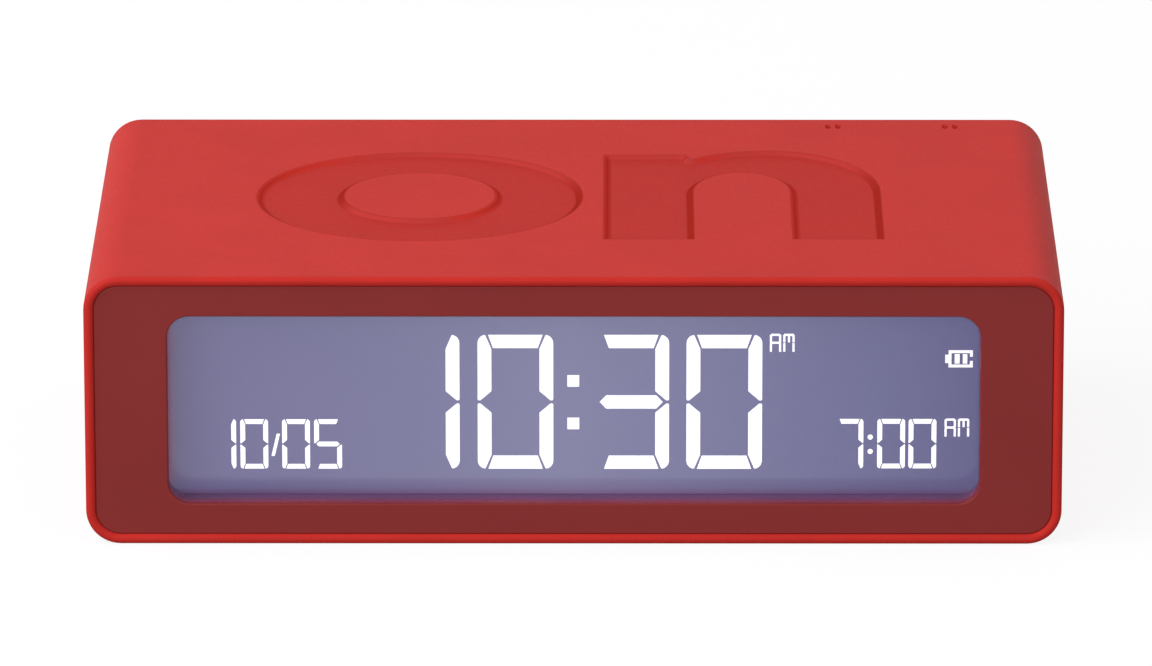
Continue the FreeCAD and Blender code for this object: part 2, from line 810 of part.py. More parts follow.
def make_display_tray():
    """The tray that clamps the display stack to the case and carries the main board."""
    body = new_body("display_tray")
    add(body, [rounded(TRAY_W, TRAY_H, dim.tray_wall)], GLASS_FACE, TRAY_BACK)
    add(body, [rounded(INNER_W - 2 * dim.tray_side_gap, TRAY_H, INNER_R)], TRAY_FLOOR, TRAY_BACK)
    remove(body, [rounded(SEAT_W, SEAT_H, dim.tray_fit)], GLASS_FACE, TRAY_FLOOR)
    standoffs = corners(STANDOFF_X, STANDOFF_Z)
    add(body, [circle(dim.standoff_radius, x, z) for x, z in standoffs], TRAY_BACK, BOARD_FACE)
    pilots = [circle(BOARD_PILOT, x, z) for x, z in standoffs]
    remove(body, pilots, BOARD_BACK - dim.board_screw_length - dim.board_pilot_room, BOARD_FACE)
    places = corners(POST_X, POST_Z)
    holes = [circle(dim.screw_radius + dim.screw_hole_gap, x, z) for x, z in places]
    remove(body, holes, TRAY_FLOOR, TRAY_BACK)
    reach = STRIP_L / 2 + dim.slot_play
    slot = box(-reach, reach, STRIP_LOW - dim.tray_fit, STRIP_TOP + dim.tray_fit)
    remove(body, [slot], TRAY_FLOOR, TRAY_BACK)
    length = dim.tray_screw_length
    screws("tray_screws", places, TRAY_BACK, -1, dim.screw_head_radius, dim.screw_radius, length)


# Main board and what it carries


def make_main_board():
    """The board behind the display and its screws."""
    body = new_body("main_board")
    half = BOARD_W / 2
    places = corners(STANDOFF_X, STANDOFF_Z)
    holes = [circle(dim.board_screw_radius + dim.screw_hole_gap, x, z) for x, z in places]
    edge = box(-half, half, MID - BOARD_H / 2, MID + BOARD_H / 2)
    add(body, [edge, *holes], BOARD_FACE, BOARD_BACK)
    radii = dim.board_screw_head_radius, dim.board_screw_radius
    screws("board_screws", places, BOARD_BACK, -1, *radii, dim.board_screw_length)


def make_board_parts():
    """The sealed chip, the clock crystal and the small capacitors on the main board."""
    chip = new_body("controller_chip")
    top = BOARD_BACK + dim.chip_height
    add(chip, [circle(dim.chip_radius, dim.chip_x)], BOARD_BACK, top)
    slant(chip, dim.chip_slant, lambda edge: lies_at(edge, top))

    start = (dim.crystal_x, BOARD_BACK + dim.crystal_radius, MID - dim.crystal_length / 2)
    keep(rod("crystal", dim.crystal_radius, start, dim.crystal_length, along="Z"), "clock_crystal")

    made = []
    side = dim.capacitor_side
    for column in range(CAPACITOR_COLUMNS):
        for level in (-1, 1):
            x = dim.capacitor_inset - BOARD_W / 2 + (column - CAPACITOR_COLUMNS // 2) * dim.capacitor_pitch
            z = MID + level * dim.capacitor_pitch
            low = (x - dim.capacitor_length / 2, BOARD_BACK, z - side / 2)
            high = (x + dim.capacitor_length / 2, BOARD_BACK + side, z + side / 2)
            made.append(block("capacitor", low, high))
    group(made, "board_capacitors")


def make_tilt_switch():
    """The cage that tells which broad face is up, and the ball that falls to its lower end."""
    low = MID - dim.tilt_length / 2
    high = MID + dim.tilt_length / 2
    half = dim.tilt_side / 2
    axis_y = BOARD_BACK + half
    cage_low = (dim.tilt_x - half, BOARD_BACK, low)
    outside = block("cage_block", cage_low, (dim.tilt_x + half, axis_y + half, high))
    bore = dim.tilt_ball_radius + dim.tilt_clearance
    start = (dim.tilt_x, axis_y, low + dim.tilt_wall)
    hollow = rod("cage_bore", bore, start, dim.tilt_length - 2 * dim.tilt_wall, along="Z")
    keep(without(outside, hollow, "cage"), "tilt_switch_cage")

    ball = doc.addObject("Part::Sphere", "ball")
    ball.setExpression("Radius", dim.tilt_ball_radius.text)
    rest = (dim.tilt_x, axis_y, low + dim.tilt_wall + bore)
    for axis, place in zip("xyz", rest):
        ball.setExpression(f"Placement.Base.{axis}", place.text)
    keep(ball, "tilt_ball")


def make_touch_electrodes():
    """Foil electrodes inside the two broad faces, each met by a leaf from the main board."""
    half = dim.electrode_width / 2
    near = FRONT + dim.electrode_inset
    far = near + dim.electrode_depth
    for name, sense in (("upper", 1), ("lower", -1)):
        face = MID + sense * INNER_H / 2
        back = face - sense * dim.electrode_thick
        low, high = (back, face) if sense > 0 else (face, back)
        keep(block(f"foil_{name}", (-half, near, low), (half, far, high)), f"touch_electrode_{name}")

        knee = MID + sense * (BOARD_H / 2 - dim.leaf_foot_inset)
        at = V(dim.leaf_x.number, (BOARD_BACK + dim.leaf_thick / 2).number, knee.number)
        touch = (back - sense * (dim.touch_gap + dim.leaf_thick / 2) - knee).number
        slope = dim.leaf_slope.number
        pad = slope + dim.leaf_pad.number
        tip = dim.leaf_tip.number
        points = [
            V(0, 0, -sense * dim.leaf_foot.number),
            V(0, 0, 0),
            V(0, slope, touch),
            V(0, pad, touch),
            V(0, pad + tip, touch - sense * tip),
        ]
        section = strip_section(points[0], V(dim.leaf_width.number, 0, 0), V(0, dim.leaf_thick.number, 0))
        shaped(f"touch_spring_{name}", swept(bent_path(points, dim.leaf_bend.number), section), at)


def make_ribbon():
    """The flat ribbon that joins the main board to the key board, and its two sockets."""
    low = MID - dim.socket_width / 2
    high = MID + dim.socket_width / 2
    half = dim.socket_thick / 2
    start = BOARD_BACK + dim.socket_depth
    end = KEY_BOARD_FACE - dim.socket_depth
    front_low = (RIBBON_FRONT_X - half, BOARD_BACK, low)
    keep(block("front_socket", front_low, (RIBBON_FRONT_X + half, start, high)), "ribbon_socket_front")
    rear_low = (RIBBON_REAR_X - half, end, low)
    keep(block("rear_socket", rear_low, (RIBBON_REAR_X + half, KEY_BOARD_FACE, high)), "ribbon_socket_rear")

    lead = dim.ribbon_lead.number
    span = (end - start).number
    shift = -dim.ribbon_shift.number
    bow = V(-dim.ribbon_swing.number, span / 2, 0)
    points = [V(), V(0, lead, 0), bow, V(shift, span - lead, 0), V(shift, span, 0)]
    section = strip_section(points[0], V(dim.ribbon_thick.number, 0, 0), V(0, 0, dim.ribbon_width.number))
    at = V(RIBBON_FRONT_X.number, start.number, MID.number)
    shaped("ribbon_cable", swept(bent_path(points, dim.ribbon_bend.number), section), at)


# Rear housing and battery door


def tab_centres():
    """The heights of the door's two hook tabs."""
    return [MID + level * dim.tab_pitch / 2 for level in (-1, 1)]


def make_rear_housing():
    """The rear plate and battery bay in one moulding, with its slots, holes and posts."""
    body = new_body("rear_housing")
    add(body, [rounded(PANEL_W, PANEL_H, PANEL_R)], REAR_SEAT, REAR_FACE)
    bay_outside = rounded(BAY_L + 2 * dim.bay_wall, BAY_H + 2 * dim.bay_shelf, dim.bay_wall, BAY_MID)
    add(body, [bay_outside], BAY_BACK, REAR_SEAT)

    gap = dim.door_gap
    remove(body, [rounded(DOOR_W + 2 * gap, DOOR_H + 2 * gap, dim.bay_wall, BAY_MID)], DOOR_SEAT, REAR_FACE)
    bay = box(BAY_LEFT, BAY_RIGHT, MID - BAY_H / 2, MID + BAY_H / 2)
    remove(body, [bay], BAY_FLOOR, DOOR_SEAT)

    for centre in tab_centres():
        low = centre - dim.tab_width / 2 - gap
        high = centre + dim.tab_width / 2 + gap
        pocket = box(DOOR_LEFT - dim.tab_reach - gap - dim.tab_play, BAY_LEFT, low, high)
        remove(body, [pocket], REAR_SEAT - dim.tab_thick - dim.tab_room, REAR_SEAT)
        remove(body, [box(DOOR_LEFT, BAY_LEFT, low, high)], REAR_SEAT, DOOR_SEAT)

    notch_end = LATCH_RIGHT + dim.latch_clearance
    half = dim.latch_width / 2 + gap
    remove(body, [box(DOOR_RIGHT - gap, notch_end, MID - half, MID + half)], REAR_SEAT, REAR_FACE)
    remove(body, [circle(dim.scoop_radius, notch_end)], REAR_FACE - dim.scoop_depth, REAR_FACE)

    posts = [(KEY_POST_X, MID + level * dim.key_post_pitch / 2) for level in (1, -1)]
    add(body, [circle(dim.key_post_radius, x, z) for x, z in posts], KEY_BOARD_BACK, REAR_SEAT)
    pilots = [circle(BOARD_PILOT, x, z) for x, z in posts]
    remove(body, pilots, KEY_BOARD_BACK, KEY_BOARD_FACE + dim.key_screw_length + dim.pilot_room)

    keys = [circle(dim.key_radius + dim.key_clearance, x, z) for x, z in KEYS.values()]
    remove(body, keys, REAR_SEAT, REAR_FACE)
    sound = [circle(dim.sound_hole_radius, BUZZER_X)]
    for step in range(SOUND_HOLES):
        angle = 2 * math.pi * step / SOUND_HOLES
        x = BUZZER_X + dim.sound_ring_radius * math.cos(angle)
        z = MID + dim.sound_ring_radius * math.sin(angle)
        sound.append(circle(dim.sound_hole_radius, x, z))
    remove(body, sound, REAR_SEAT, REAR_FACE)

    places = corners(POST_X, POST_Z)
    holes = [circle(dim.screw_radius + dim.screw_hole_gap, x, z) for x, z in places]
    remove(body, holes, REAR_SEAT, REAR_FACE)
    bores = [circle(dim.screw_head_radius + dim.counterbore_gap, x, z) for x, z in places]
    remove(body, bores, HEAD_SEAT, REAR_FACE)

    for level in (-1, 1):
        centre = MID + level * CELL_Z
        half = dim.tongue_width / 2 + dim.slot_play / 2
        slot = box(BAY_RIGHT, BAY_RIGHT + dim.bay_wall, centre - half, centre + half)
        start = KEY_BOARD_BACK - dim.slot_play / 2
        remove(body, [slot], start, start + dim.contact_thick + dim.slot_play)

    def on_a_rim(edge):
        is_long = edge.Length > (PANEL_H / 2).number
        return is_long and not edge.isClosed() and lies_at(edge, REAR_FACE)

    soften(body, dim.lip_rounding, on_a_rim)
    length = dim.rear_screw_length
    screws("rear_screws", places, HEAD_SEAT, -1, dim.screw_head_radius, dim.screw_radius, length)


def make_battery_door():
    """The battery door: a plate with a round hinge edge, two hook tabs and a sprung latch."""
    body = new_body("battery_door")
    add(body, [rounded(DOOR_W, DOOR_H, dim.bay_wall, BAY_MID)], DOOR_SEAT, DOOR_FACE)

    def on_hinge_side(edge):
        at_left = edge.BoundBox.XMax < DOOR_LEFT.number + CLOSE
        return at_left and (lies_at(edge, DOOR_SEAT) or lies_at(edge, DOOR_FACE))

    soften(body, dim.door_thick * ROUNDING_SHARE, on_hinge_side)

    hook = DOOR_LEFT - dim.tab_reach
    neck = DOOR_LEFT + dim.door_thick / 2
    root = BAY_LEFT + dim.tab_neck
    tab_top = REAR_SEAT - dim.tab_play
    tab_low = tab_top - dim.tab_thick
    plate = DOOR_SEAT + dim.door_thick / 4
    inner_side = [(hook, tab_low), (root, tab_low), (root, plate)]
    outer_side = [(neck, plate), (neck, tab_top), (hook, tab_top)]
    outline = polygon(*inner_side, *outer_side)
    for centre in tab_centres():
        add(body, [outline], centre - dim.tab_width / 2, centre + dim.tab_width / 2, along="Z")

    leg_right = LATCH_LEFT + dim.latch_leg
    lip_left = leg_right + dim.latch_gap
    floor = DOOR_SEAT - dim.latch_drop
    under = floor - dim.latch_leg
    lip = DOOR_FACE - dim.latch_lip_drop
    root = DOOR_RIGHT - dim.door_lap
    latch = polygon(
        (root, DOOR_SEAT),
        (LATCH_LEFT, DOOR_SEAT),
        (LATCH_LEFT, under),
        (LATCH_RIGHT, under),
        (LATCH_RIGHT, lip),
        (lip_left, lip),
        (lip_left, floor),
        (leg_right, floor),
        (leg_right, DOOR_FACE),
        (root, DOOR_FACE),
    )
    add(body, [latch], MID - dim.latch_width / 2, MID + dim.latch_width / 2, along="Z")

    grooves = []
    half = dim.groove_length / 2
    for step in range(GRIP_GROOVES):
        right = DOOR_RIGHT - dim.groove_inset - step * dim.groove_pitch
        grooves.append(box(right - dim.groove_width, right, MID - half, MID + half))
    remove(body, grooves, DOOR_FACE - dim.groove_depth, DOOR_FACE)


# Battery cells and their contacts


def make_cell(label, start, sense, z):
    """A dry cell along X, whose button end is on the side that sense points to."""
    body = new_body(label)
    can = dim.cell_length - dim.button_end_length
    can_start = start if sense > 0 else start + dim.button_end_length
    can_end = can_start + can
    add(body, [circle(dim.cell_diameter / 2, CELL_Y, z)], can_start, can_end, along="X")

    def at_an_end(edge):
        extent = edge.BoundBox
        return extent.XMax - extent.XMin < CLOSE

    slant(body, dim.cell_slant, at_an_end)
    tip_start = can_end if sense > 0 else start
    tip = circle(dim.button_end_radius, CELL_Y, z)
    add(body, [tip], tip_start, tip_start + dim.button_end_length, along="X")


def make_contact_coil(label, plate_face, sense, z):
    """A conical contact spring that runs from its plate to the flat end of a cell."""
    wire = dim.coil_wire.number
    gap = dim.touch_gap.number
    turns = dim.coil_turns.number
    reach = dim.coil_length.number - 2 * wire - 2 * gap
    path = coil_path(sense * reach, dim.coil_base_radius.number, dim.coil_tip_radius.number, turns)
    first = path.OrderedEdges[0]
    begin = first.FirstParameter
    ring = Part.Circle(first.valueAt(begin), first.tangentAt(begin), wire)
    shape = swept(path, Part.Wire(ring.toShape()))
    least_gap = reach / turns - 2 * wire
    expected = math.pi * wire**2 * path.Length
    print(f"{label}: {least_gap:.2f} mm between turns, volume {shape.Volume:.2f} against {expected:.2f}")
    shaped(label, shape, V(plate_face.number + sense * (wire + gap), CELL_Y.number, z.number))


def make_battery_parts():
    """Two cells, the link across their left ends, and the two contacts to the key board."""
    upper = MID + CELL_Z
    lower = MID - CELL_Z
    half = dim.contact_side / 2
    near = CELL_Y - half
    far = CELL_Y + half - dim.contact_trim

    link = new_body("link_contact")
    link_face = BAY_LEFT + dim.contact_thick
    add(link, [box(near, far, lower - half, upper + half)], BAY_LEFT, link_face, along="X")
    bump = circle(dim.bump_radius, CELL_Y, lower)
    add(link, [bump], link_face, link_face + dim.contact_bump, along="X")

    plate_face = BAY_RIGHT - dim.contact_thick
    tongue_end = KEY_BOARD_LEFT + dim.tongue_overlap
    for label, z in (("positive_contact", upper), ("negative_contact", lower)):
        body = new_body(label)
        add(body, [box(near, far, z - half, z + half)], plate_face, BAY_RIGHT, along="X")
        if z is upper:
            bump = circle(dim.bump_radius, CELL_Y, z)
            add(body, [bump], plate_face - dim.contact_bump, plate_face, along="X")
        reach = dim.tongue_width / 2
        tongue = box(KEY_BOARD_BACK, KEY_BOARD_BACK + dim.contact_thick, z - reach, z + reach)
        add(body, [tongue], BAY_RIGHT, tongue_end, along="X")

    make_cell("battery_cell_upper", link_face + dim.coil_length, 1, upper)
    make_cell("battery_cell_lower", link_face + dim.contact_bump, -1, lower)
    make_contact_coil("contact_spring_upper", link_face, 1, upper)
    make_contact_coil("contact_spring_lower", plate_face, -1, lower)


# Keys, switches, key board and sounder


def make_keys():
    """Four round keys, the switches under them and the plungers that they press."""
    housings = []
    top = BACK - dim.key_recess
    for name, (x, z) in KEYS.items():
        key = new_body(f"{name}_key")
        add(key, [circle(dim.key_stem_radius, x, z)], PLUNGER_TOP, FLANGE_TOP)
        add(key, [circle(dim.key_flange_radius, x, z)], FLANGE_TOP - dim.key_flange_thick, FLANGE_TOP)
        add(key, [circle(dim.key_radius, x, z)], FLANGE_TOP, top)
        soften(key, dim.key_rounding, lambda edge: lies_at(edge, top))

        start = PLUNGER_TOP - dim.plunger_length
        plunger = rod(f"{name}_rod", dim.plunger_radius, (x, start, z), dim.plunger_length)
        keep(plunger, f"{name}_switch_plunger")

        half = dim.switch_side / 2
        low = (x - half, KEY_BOARD_BACK, z - half)
        outside = block(f"{name}_switch_block", low, (x + half, SWITCH_TOP, z + half))
        floor = start - dim.plunger_room
        bore = dim.plunger_radius + dim.plunger_clearance
        well = rod(f"{name}_switch_well", bore, (x, floor, z), SWITCH_TOP - floor)
        housings.append(without(outside, well, f"{name}_switch_housing"))
    group(housings, "switch_housings")


def make_key_board():
    """The small board behind the rear plate, and the two screws that hold it."""
    body = new_body("key_board")
    right = POST_X - dim.post_radius - dim.key_board_right_gap
    reach = INNER_H / 2 - dim.key_board_edge_gap
    places = [(KEY_POST_X, MID + level * dim.key_post_pitch / 2) for level in (1, -1)]
    holes = [circle(dim.board_screw_radius + dim.screw_hole_gap, x, z) for x, z in places]
    edge = box(KEY_BOARD_LEFT, right, MID - reach, MID + reach)
    add(body, [edge, *holes], KEY_BOARD_FACE, KEY_BOARD_BACK)
    radii = dim.board_screw_head_radius, dim.board_screw_radius
    screws("key_board_screws", places, KEY_BOARD_FACE, 1, *radii, dim.key_screw_length)


def make_sounder():
    """The sounder: a cup with two pins, its disc, and the foam ring against the rear plate."""
    cup = new_body("buzzer_cup")
    add(cup, [circle(dim.buzzer_radius, BUZZER_X)], BUZZER_FACE, BUZZER_BACK)
    hollow = circle(dim.buzzer_radius - dim.buzzer_wall, BUZZER_X)
    remove(cup, [hollow], BUZZER_FACE + dim.buzzer_wall, BUZZER_BACK)
    pins = [circle(dim.pin_radius, BUZZER_X + side * dim.pin_pitch / 2) for side in (-1, 1)]
    add(cup, pins, KEY_BOARD_BACK, BUZZER_FACE)

    start = (BUZZER_X, BUZZER_BACK - dim.buzzer_height / 2, MID)
    disc_radius = dim.buzzer_radius - dim.buzzer_wall - dim.disc_gap
    keep(rod("disc", disc_radius, start, dim.disc_thick), "buzzer_disc")

    ring = new_body("buzzer_foam_ring")
    hole = circle(dim.buzzer_radius - dim.foam_width, BUZZER_X)
    add(ring, [circle(dim.buzzer_radius, BUZZER_X), hole], BUZZER_BACK, REAR_SEAT)


def main():
    make_skin()
    make_inner_case()
    make_front_panel()
    make_window_lens()
    make_display_stack()
    make_display_tray()
    make_main_board()
    make_board_parts()
    make_tilt_switch()
    make_touch_electrodes()
    make_ribbon()
    make_rear_housing()
    make_battery_door()
    make_battery_parts()
    make_keys()
    make_key_board()
    make_sounder()
    doc.recompute()

    for thing in doc.Objects:
        if {"Invalid", "Error"} & set(thing.State):
            raise RuntimeError(f"{thing.Label} failed: {thing.State}")
    for thing in subparts:
        shape = thing.Shape
        if shape.isNull() or not shape.isValid() or not shape.Solids:
            raise RuntimeError(f"{thing.Label} has no valid solid")
    os.makedirs("parts", exist_ok=True)
    for thing in subparts:
        thing.Shape.exportStep(f"parts/{thing.Label}.step")
    print(f"{len(subparts)} sub-parts written")


main()
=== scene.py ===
import math

import bpy
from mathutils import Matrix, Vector
from mathutils.geometry import delaunay_2d_cdt


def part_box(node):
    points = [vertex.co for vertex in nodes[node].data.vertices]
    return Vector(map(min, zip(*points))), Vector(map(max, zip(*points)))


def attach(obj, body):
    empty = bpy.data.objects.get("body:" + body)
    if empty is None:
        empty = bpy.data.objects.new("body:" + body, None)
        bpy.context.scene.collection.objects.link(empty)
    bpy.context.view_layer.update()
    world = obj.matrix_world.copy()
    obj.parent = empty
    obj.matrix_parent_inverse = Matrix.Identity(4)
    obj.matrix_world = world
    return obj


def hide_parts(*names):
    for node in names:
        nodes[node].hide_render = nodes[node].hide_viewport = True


# Flip-over alarm clock. Lengths are in millimetres here and become metres in each mesh.

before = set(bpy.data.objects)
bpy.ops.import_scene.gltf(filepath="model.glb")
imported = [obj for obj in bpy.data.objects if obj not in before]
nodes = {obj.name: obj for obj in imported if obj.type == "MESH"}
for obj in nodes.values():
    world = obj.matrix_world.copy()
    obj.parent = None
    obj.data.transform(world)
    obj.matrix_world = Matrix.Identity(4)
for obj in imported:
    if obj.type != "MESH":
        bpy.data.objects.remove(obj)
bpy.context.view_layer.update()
MM = 0.001
BODY = "clock_body"


def span(node):
    """The lowest and highest corner of a CAD node, in millimetres."""
    low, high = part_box(node)
    return low / MM, high / MM


# Camera

camera_data = bpy.data.cameras.new("camera")
camera = bpy.data.objects.new("camera", camera_data)
bpy.context.scene.collection.objects.link(camera)
bpy.context.scene.camera = camera

ELEVATION = math.radians(17.064)
AZIMUTH = math.radians(0.227)
ROLL = math.radians(0.038)
DISTANCE = 1166.5
PICTURE_WIDTH = 1152
FOCAL_PIXELS = 10598.4
SHIFT_RIGHT_PIXELS = 1.23
SHIFT_UP_PIXELS = -5.99
BODY_CENTRE = (0, 0, 15)
back = Vector((
    math.sin(AZIMUTH) * math.cos(ELEVATION),
    -math.cos(AZIMUTH) * math.cos(ELEVATION),
    math.sin(ELEVATION),
))
camera.location = (Vector(BODY_CENTRE) + back * DISTANCE) * MM
turn = back.to_track_quat("Z", "Y").to_matrix().to_4x4()
camera.rotation_euler = turn.to_euler()
camera.rotation_euler.rotate_axis("Z", -ROLL)
camera_data.sensor_width = 36.0
camera_data.lens = FOCAL_PIXELS / PICTURE_WIDTH * camera_data.sensor_width
camera_data.shift_x = SHIFT_RIGHT_PIXELS / PICTURE_WIDTH
camera_data.shift_y = SHIFT_UP_PIXELS / PICTURE_WIDTH
camera_data.clip_start = 0.01
camera_data.clip_end = 20.0


# Materials

# Where the painted shade and highlight on sloping walls begin and end
# The upward part of a unit normal at which a slope counts as steep, and as level
STEEP = 0.96
LEVEL = 0.998
# The share of a slope's direction that must lie along a bearing
HARDLY_FACING = 0.6
FULLY_FACING = 0.9


class Finish:
    """A material with one Principled shader and helpers for the nodes that feed it."""

    def __init__(self, name, colour, rough, **plain):
        self.material = bpy.data.materials.new(name)
        self.material.use_nodes = True
        self.tree = self.material.node_tree
        self.shader = self.tree.nodes["Principled BSDF"]
        self.colour = (*colour, 1.0)
        self.shader.inputs["Base Color"].default_value = self.colour
        self.shader.inputs["Roughness"].default_value = rough
        for socket, value in plain.items():
            self.shader.inputs[socket.replace("_", " ")].default_value = value
        coordinates = self.tree.nodes.new("ShaderNodeTexCoord")
        self.place = coordinates.outputs["Object"]
        self.facing = coordinates.outputs["Normal"]

    def node(self, kind, **inputs):
        made = self.tree.nodes.new(kind)
        for name, value in inputs.items():
            self.feed(made.inputs[name.replace("_", " ")], value)
        return made

    def feed(self, socket, value):
        if isinstance(value, bpy.types.NodeSocket):
            self.tree.links.new(value, socket)
        else:
            socket.default_value = value

    def noise(self, size_mm, detail=3.0):
        """Noise whose grains are about that many millimetres across."""
        made = self.node("ShaderNodeTexNoise", Vector=self.place, Detail=detail)
        made.inputs["Scale"].default_value = 1 / (size_mm * MM)
        return made.outputs["Fac"]

    def ramp(self, value, low, high, start=0.3, end=0.7):
        """A map of the value from start to end onto low to high."""
        made = self.node("ShaderNodeMapRange", Value=value)
        made.inputs["From Min"].default_value = start
        made.inputs["From Max"].default_value = end
        made.inputs["To Min"].default_value = low
        made.inputs["To Max"].default_value = high
        return made.outputs[0]

    def mix(self, factor, first, second):
        """A colour between two colours."""
        made = self.tree.nodes.new("ShaderNodeMix")
        made.data_type = "RGBA"
        self.feed(made.inputs[0], factor)
        for socket, value in ((made.inputs[6], first), (made.inputs[7], second)):
            self.feed(socket, value if isinstance(value, bpy.types.NodeSocket) else (*value, 1.0))
        return made.outputs[2]

    def math(self, operation, first, second):
        """The result of a calculation on two numbers."""
        made = self.tree.nodes.new("ShaderNodeMath")
        made.operation = operation
        self.feed(made.inputs[0], first)
        self.feed(made.inputs[1], second)
        return made.outputs[0]

    def inside(self, low, high):
        """One inside a box given in millimetres, and zero outside it."""
        parts = self.node("ShaderNodeSeparateXYZ", Vector=self.place)
        excess = []
        for axis, least, most in zip("XYZ", low, high):
            offset = self.math("SUBTRACT", parts.outputs[axis], (least + most) / 2 * MM)
            reach = self.math("ABSOLUTE", offset, 0.0)
            excess.append(self.math("SUBTRACT", reach, (most - least) / 2 * MM))
        furthest = self.math("MAXIMUM", self.math("MAXIMUM", excess[0], excess[1]), excess[2])
        return self.math("LESS_THAN", furthest, 0.0)

    def tint_inside(self, low, high, colour):
        """Another base colour inside a box given in millimetres."""
        socket = self.shader.inputs["Base Color"]
        before = socket.links[0].from_socket if socket.links else self.colour[:3]
        self.feed(socket, self.mix(self.inside(low, high), before, colour))
        return self

    def paint_light_by_slope(self, left, right, bearing):
        """Painted shade and highlight: other base colours on slopes that face left and right, along a
        bearing in degrees.
        """
        parts = self.node("ShaderNodeSeparateXYZ", Vector=self.facing)
        upward = self.math("ABSOLUTE", parts.outputs["Z"], 0.0)
        steep = self.ramp(upward, 1.0, 0.0, STEEP, LEVEL)
        level = self.node("ShaderNodeCombineXYZ", X=parts.outputs["X"], Y=parts.outputs["Y"])
        unit = self.tree.nodes.new("ShaderNodeVectorMath")
        unit.operation = "NORMALIZE"
        self.feed(unit.inputs[0], level.outputs[0])
        along = self.tree.nodes.new("ShaderNodeVectorMath")
        along.operation = "DOT_PRODUCT"
        self.feed(along.inputs[0], unit.outputs[0])
        angle = math.radians(bearing)
        along.inputs[1].default_value = (math.cos(angle), math.sin(angle), 0.0)
        facing_right = self.ramp(along.outputs["Value"], 0.0, 1.0, HARDLY_FACING, FULLY_FACING)
        facing_left = self.ramp(along.outputs["Value"], 1.0, 0.0, -FULLY_FACING, -HARDLY_FACING)
        toward_right = self.math("MULTIPLY", steep, facing_right)
        toward_left = self.math("MULTIPLY", steep, facing_left)
        tone = self.mix(toward_left, self.mix(toward_right, self.colour[:3], right), left)
        self.feed(self.shader.inputs["Base Color"], tone)
        return self

    def mottle(self, size_mm, amount):
        """Slow colour variation about the base colour."""
        base = self.colour[:3]
        darker = tuple(c * (1 - amount) for c in base)
        lighter = tuple(min(1.0, c * (1 + amount)) for c in base)
        factor = self.ramp(self.noise(size_mm, 2.0), 0.0, 1.0)
        self.feed(self.shader.inputs["Base Color"], self.mix(factor, darker, lighter))
        return self

    def grain(self, size_mm, height_mm, rough_low=None, rough_high=None):
        """A fine relief, and the roughness that goes with it."""
        value = self.noise(size_mm)
        bump = self.node("ShaderNodeBump", Height=value)
        bump.inputs["Distance"].default_value = height_mm * MM
        bump.inputs["Strength"].default_value = 1.0
        self.feed(self.shader.inputs["Normal"], bump.outputs[0])
        if rough_low is not None:
            self.feed(self.shader.inputs["Roughness"], self.ramp(value, rough_low, rough_high))
        return self


def linear(red, green, blue):
    """A colour written in eight-bit display values, as linear light."""
    out = []
    for value in (red, green, blue):
        share = value / 255
        out.append(share / 12.92 if share <= 0.04045 else ((share + 0.055) / 1.055) ** 2.4)
    return tuple(out)


RED = linear(206, 47, 41)
DARK_RED = linear(141, 45, 44)

skin_red = Finish("skin_red", RED, 0.6, Specular_IOR_Level=0.1)
skin_red.mottle(9.0, 0.03).grain(0.35, 0.006, 0.55, 0.66)
# The sunken floors of the words are painted shade, a little darker than the face
recess_shaded_red = Finish("recess_shaded_red", linear(196, 44, 38), 0.62, Specular_IOR_Level=0.08)
recess_shaded_red.mottle(9.0, 0.03).grain(0.35, 0.008, 0.58, 0.68)
# The letter walls are painted shade: a duller red, darker on slopes facing one way, with a painted
# highlight on slopes facing the other
wall_shaded_red = Finish("recess_wall_shaded_red", linear(193, 61, 57), 0.65, Specular_IOR_Level=0.0)
wall_shaded_red.paint_light_by_slope(linear(170, 43, 34), linear(212, 57, 48), -22.0).grain(0.35, 0.006, 0.6, 0.7)

case_plastic = Finish("case_plastic", linear(146, 48, 44), 0.5)
case_plastic.mottle(12, 0.04).grain(0.5, 0.01, 0.42, 0.55)
panel_red = Finish("panel_dark_red", DARK_RED, 0.42, Specular_IOR_Level=0.2)
panel_red.mottle(14.0, 0.03).grain(0.28, 0.004, 0.33, 0.45)
rear_red = Finish("rear_dark_red", DARK_RED, 0.45).mottle(14.0, 0.03).grain(0.3, 0.006, 0.4, 0.52)
key_red = Finish("key_red", RED, 0.42).mottle(5.0, 0.03).grain(0.3, 0.005, 0.36, 0.48)
foam_black = Finish("foam_black", linear(32, 31, 33), 0.95).mottle(1.2, 0.25).grain(0.25, 0.06)
# The gasket is coloured violet as painted display glow
gasket_violet_glow = Finish("gasket_violet_glow", linear(84, 62, 112), 0.95).mottle(1.2, 0.1).grain(0.25, 0.02)
guide = Finish("guide_acrylic", linear(214, 226, 240), 0.08, IOR=1.49, Alpha=0.45).mottle(6, 0.02)
sheet_white = Finish("sheet_white", linear(236, 238, 240), 0.6)
sheet_white.mottle(5, 0.015).grain(0.4, 0.004, 0.5, 0.65)
lamp_resin = Finish("lamp_resin", linear(240, 232, 190), 0.25, Alpha=0.85).mottle(0.8, 0.06)
contact_rubber = Finish("contact_rubber", linear(44, 44, 48), 0.8).grain(0.2, 0.01, 0.7, 0.88)
tray_plastic = Finish("tray_plastic", linear(226, 226, 222), 0.5)
tray_plastic.mottle(10, 0.02).grain(0.5, 0.01, 0.42, 0.56)
board_green = Finish("board_green", linear(24, 92, 52), 0.35, Coat_Weight=0.25)
chip_resin = Finish("chip_resin", linear(22, 22, 24), 0.3).mottle(3, 0.1).grain(1.5, 0.05, 0.22, 0.38)
steel = Finish("steel", linear(176, 178, 182), 0.3, Metallic=1.0).grain(0.3, 0.003, 0.22, 0.4)
ceramic = Finish("capacitor_ceramic", linear(182, 140, 96), 0.45).mottle(0.6, 0.08)
foil = Finish("foil_copper", linear(198, 122, 78), 0.3, Metallic=1.0)
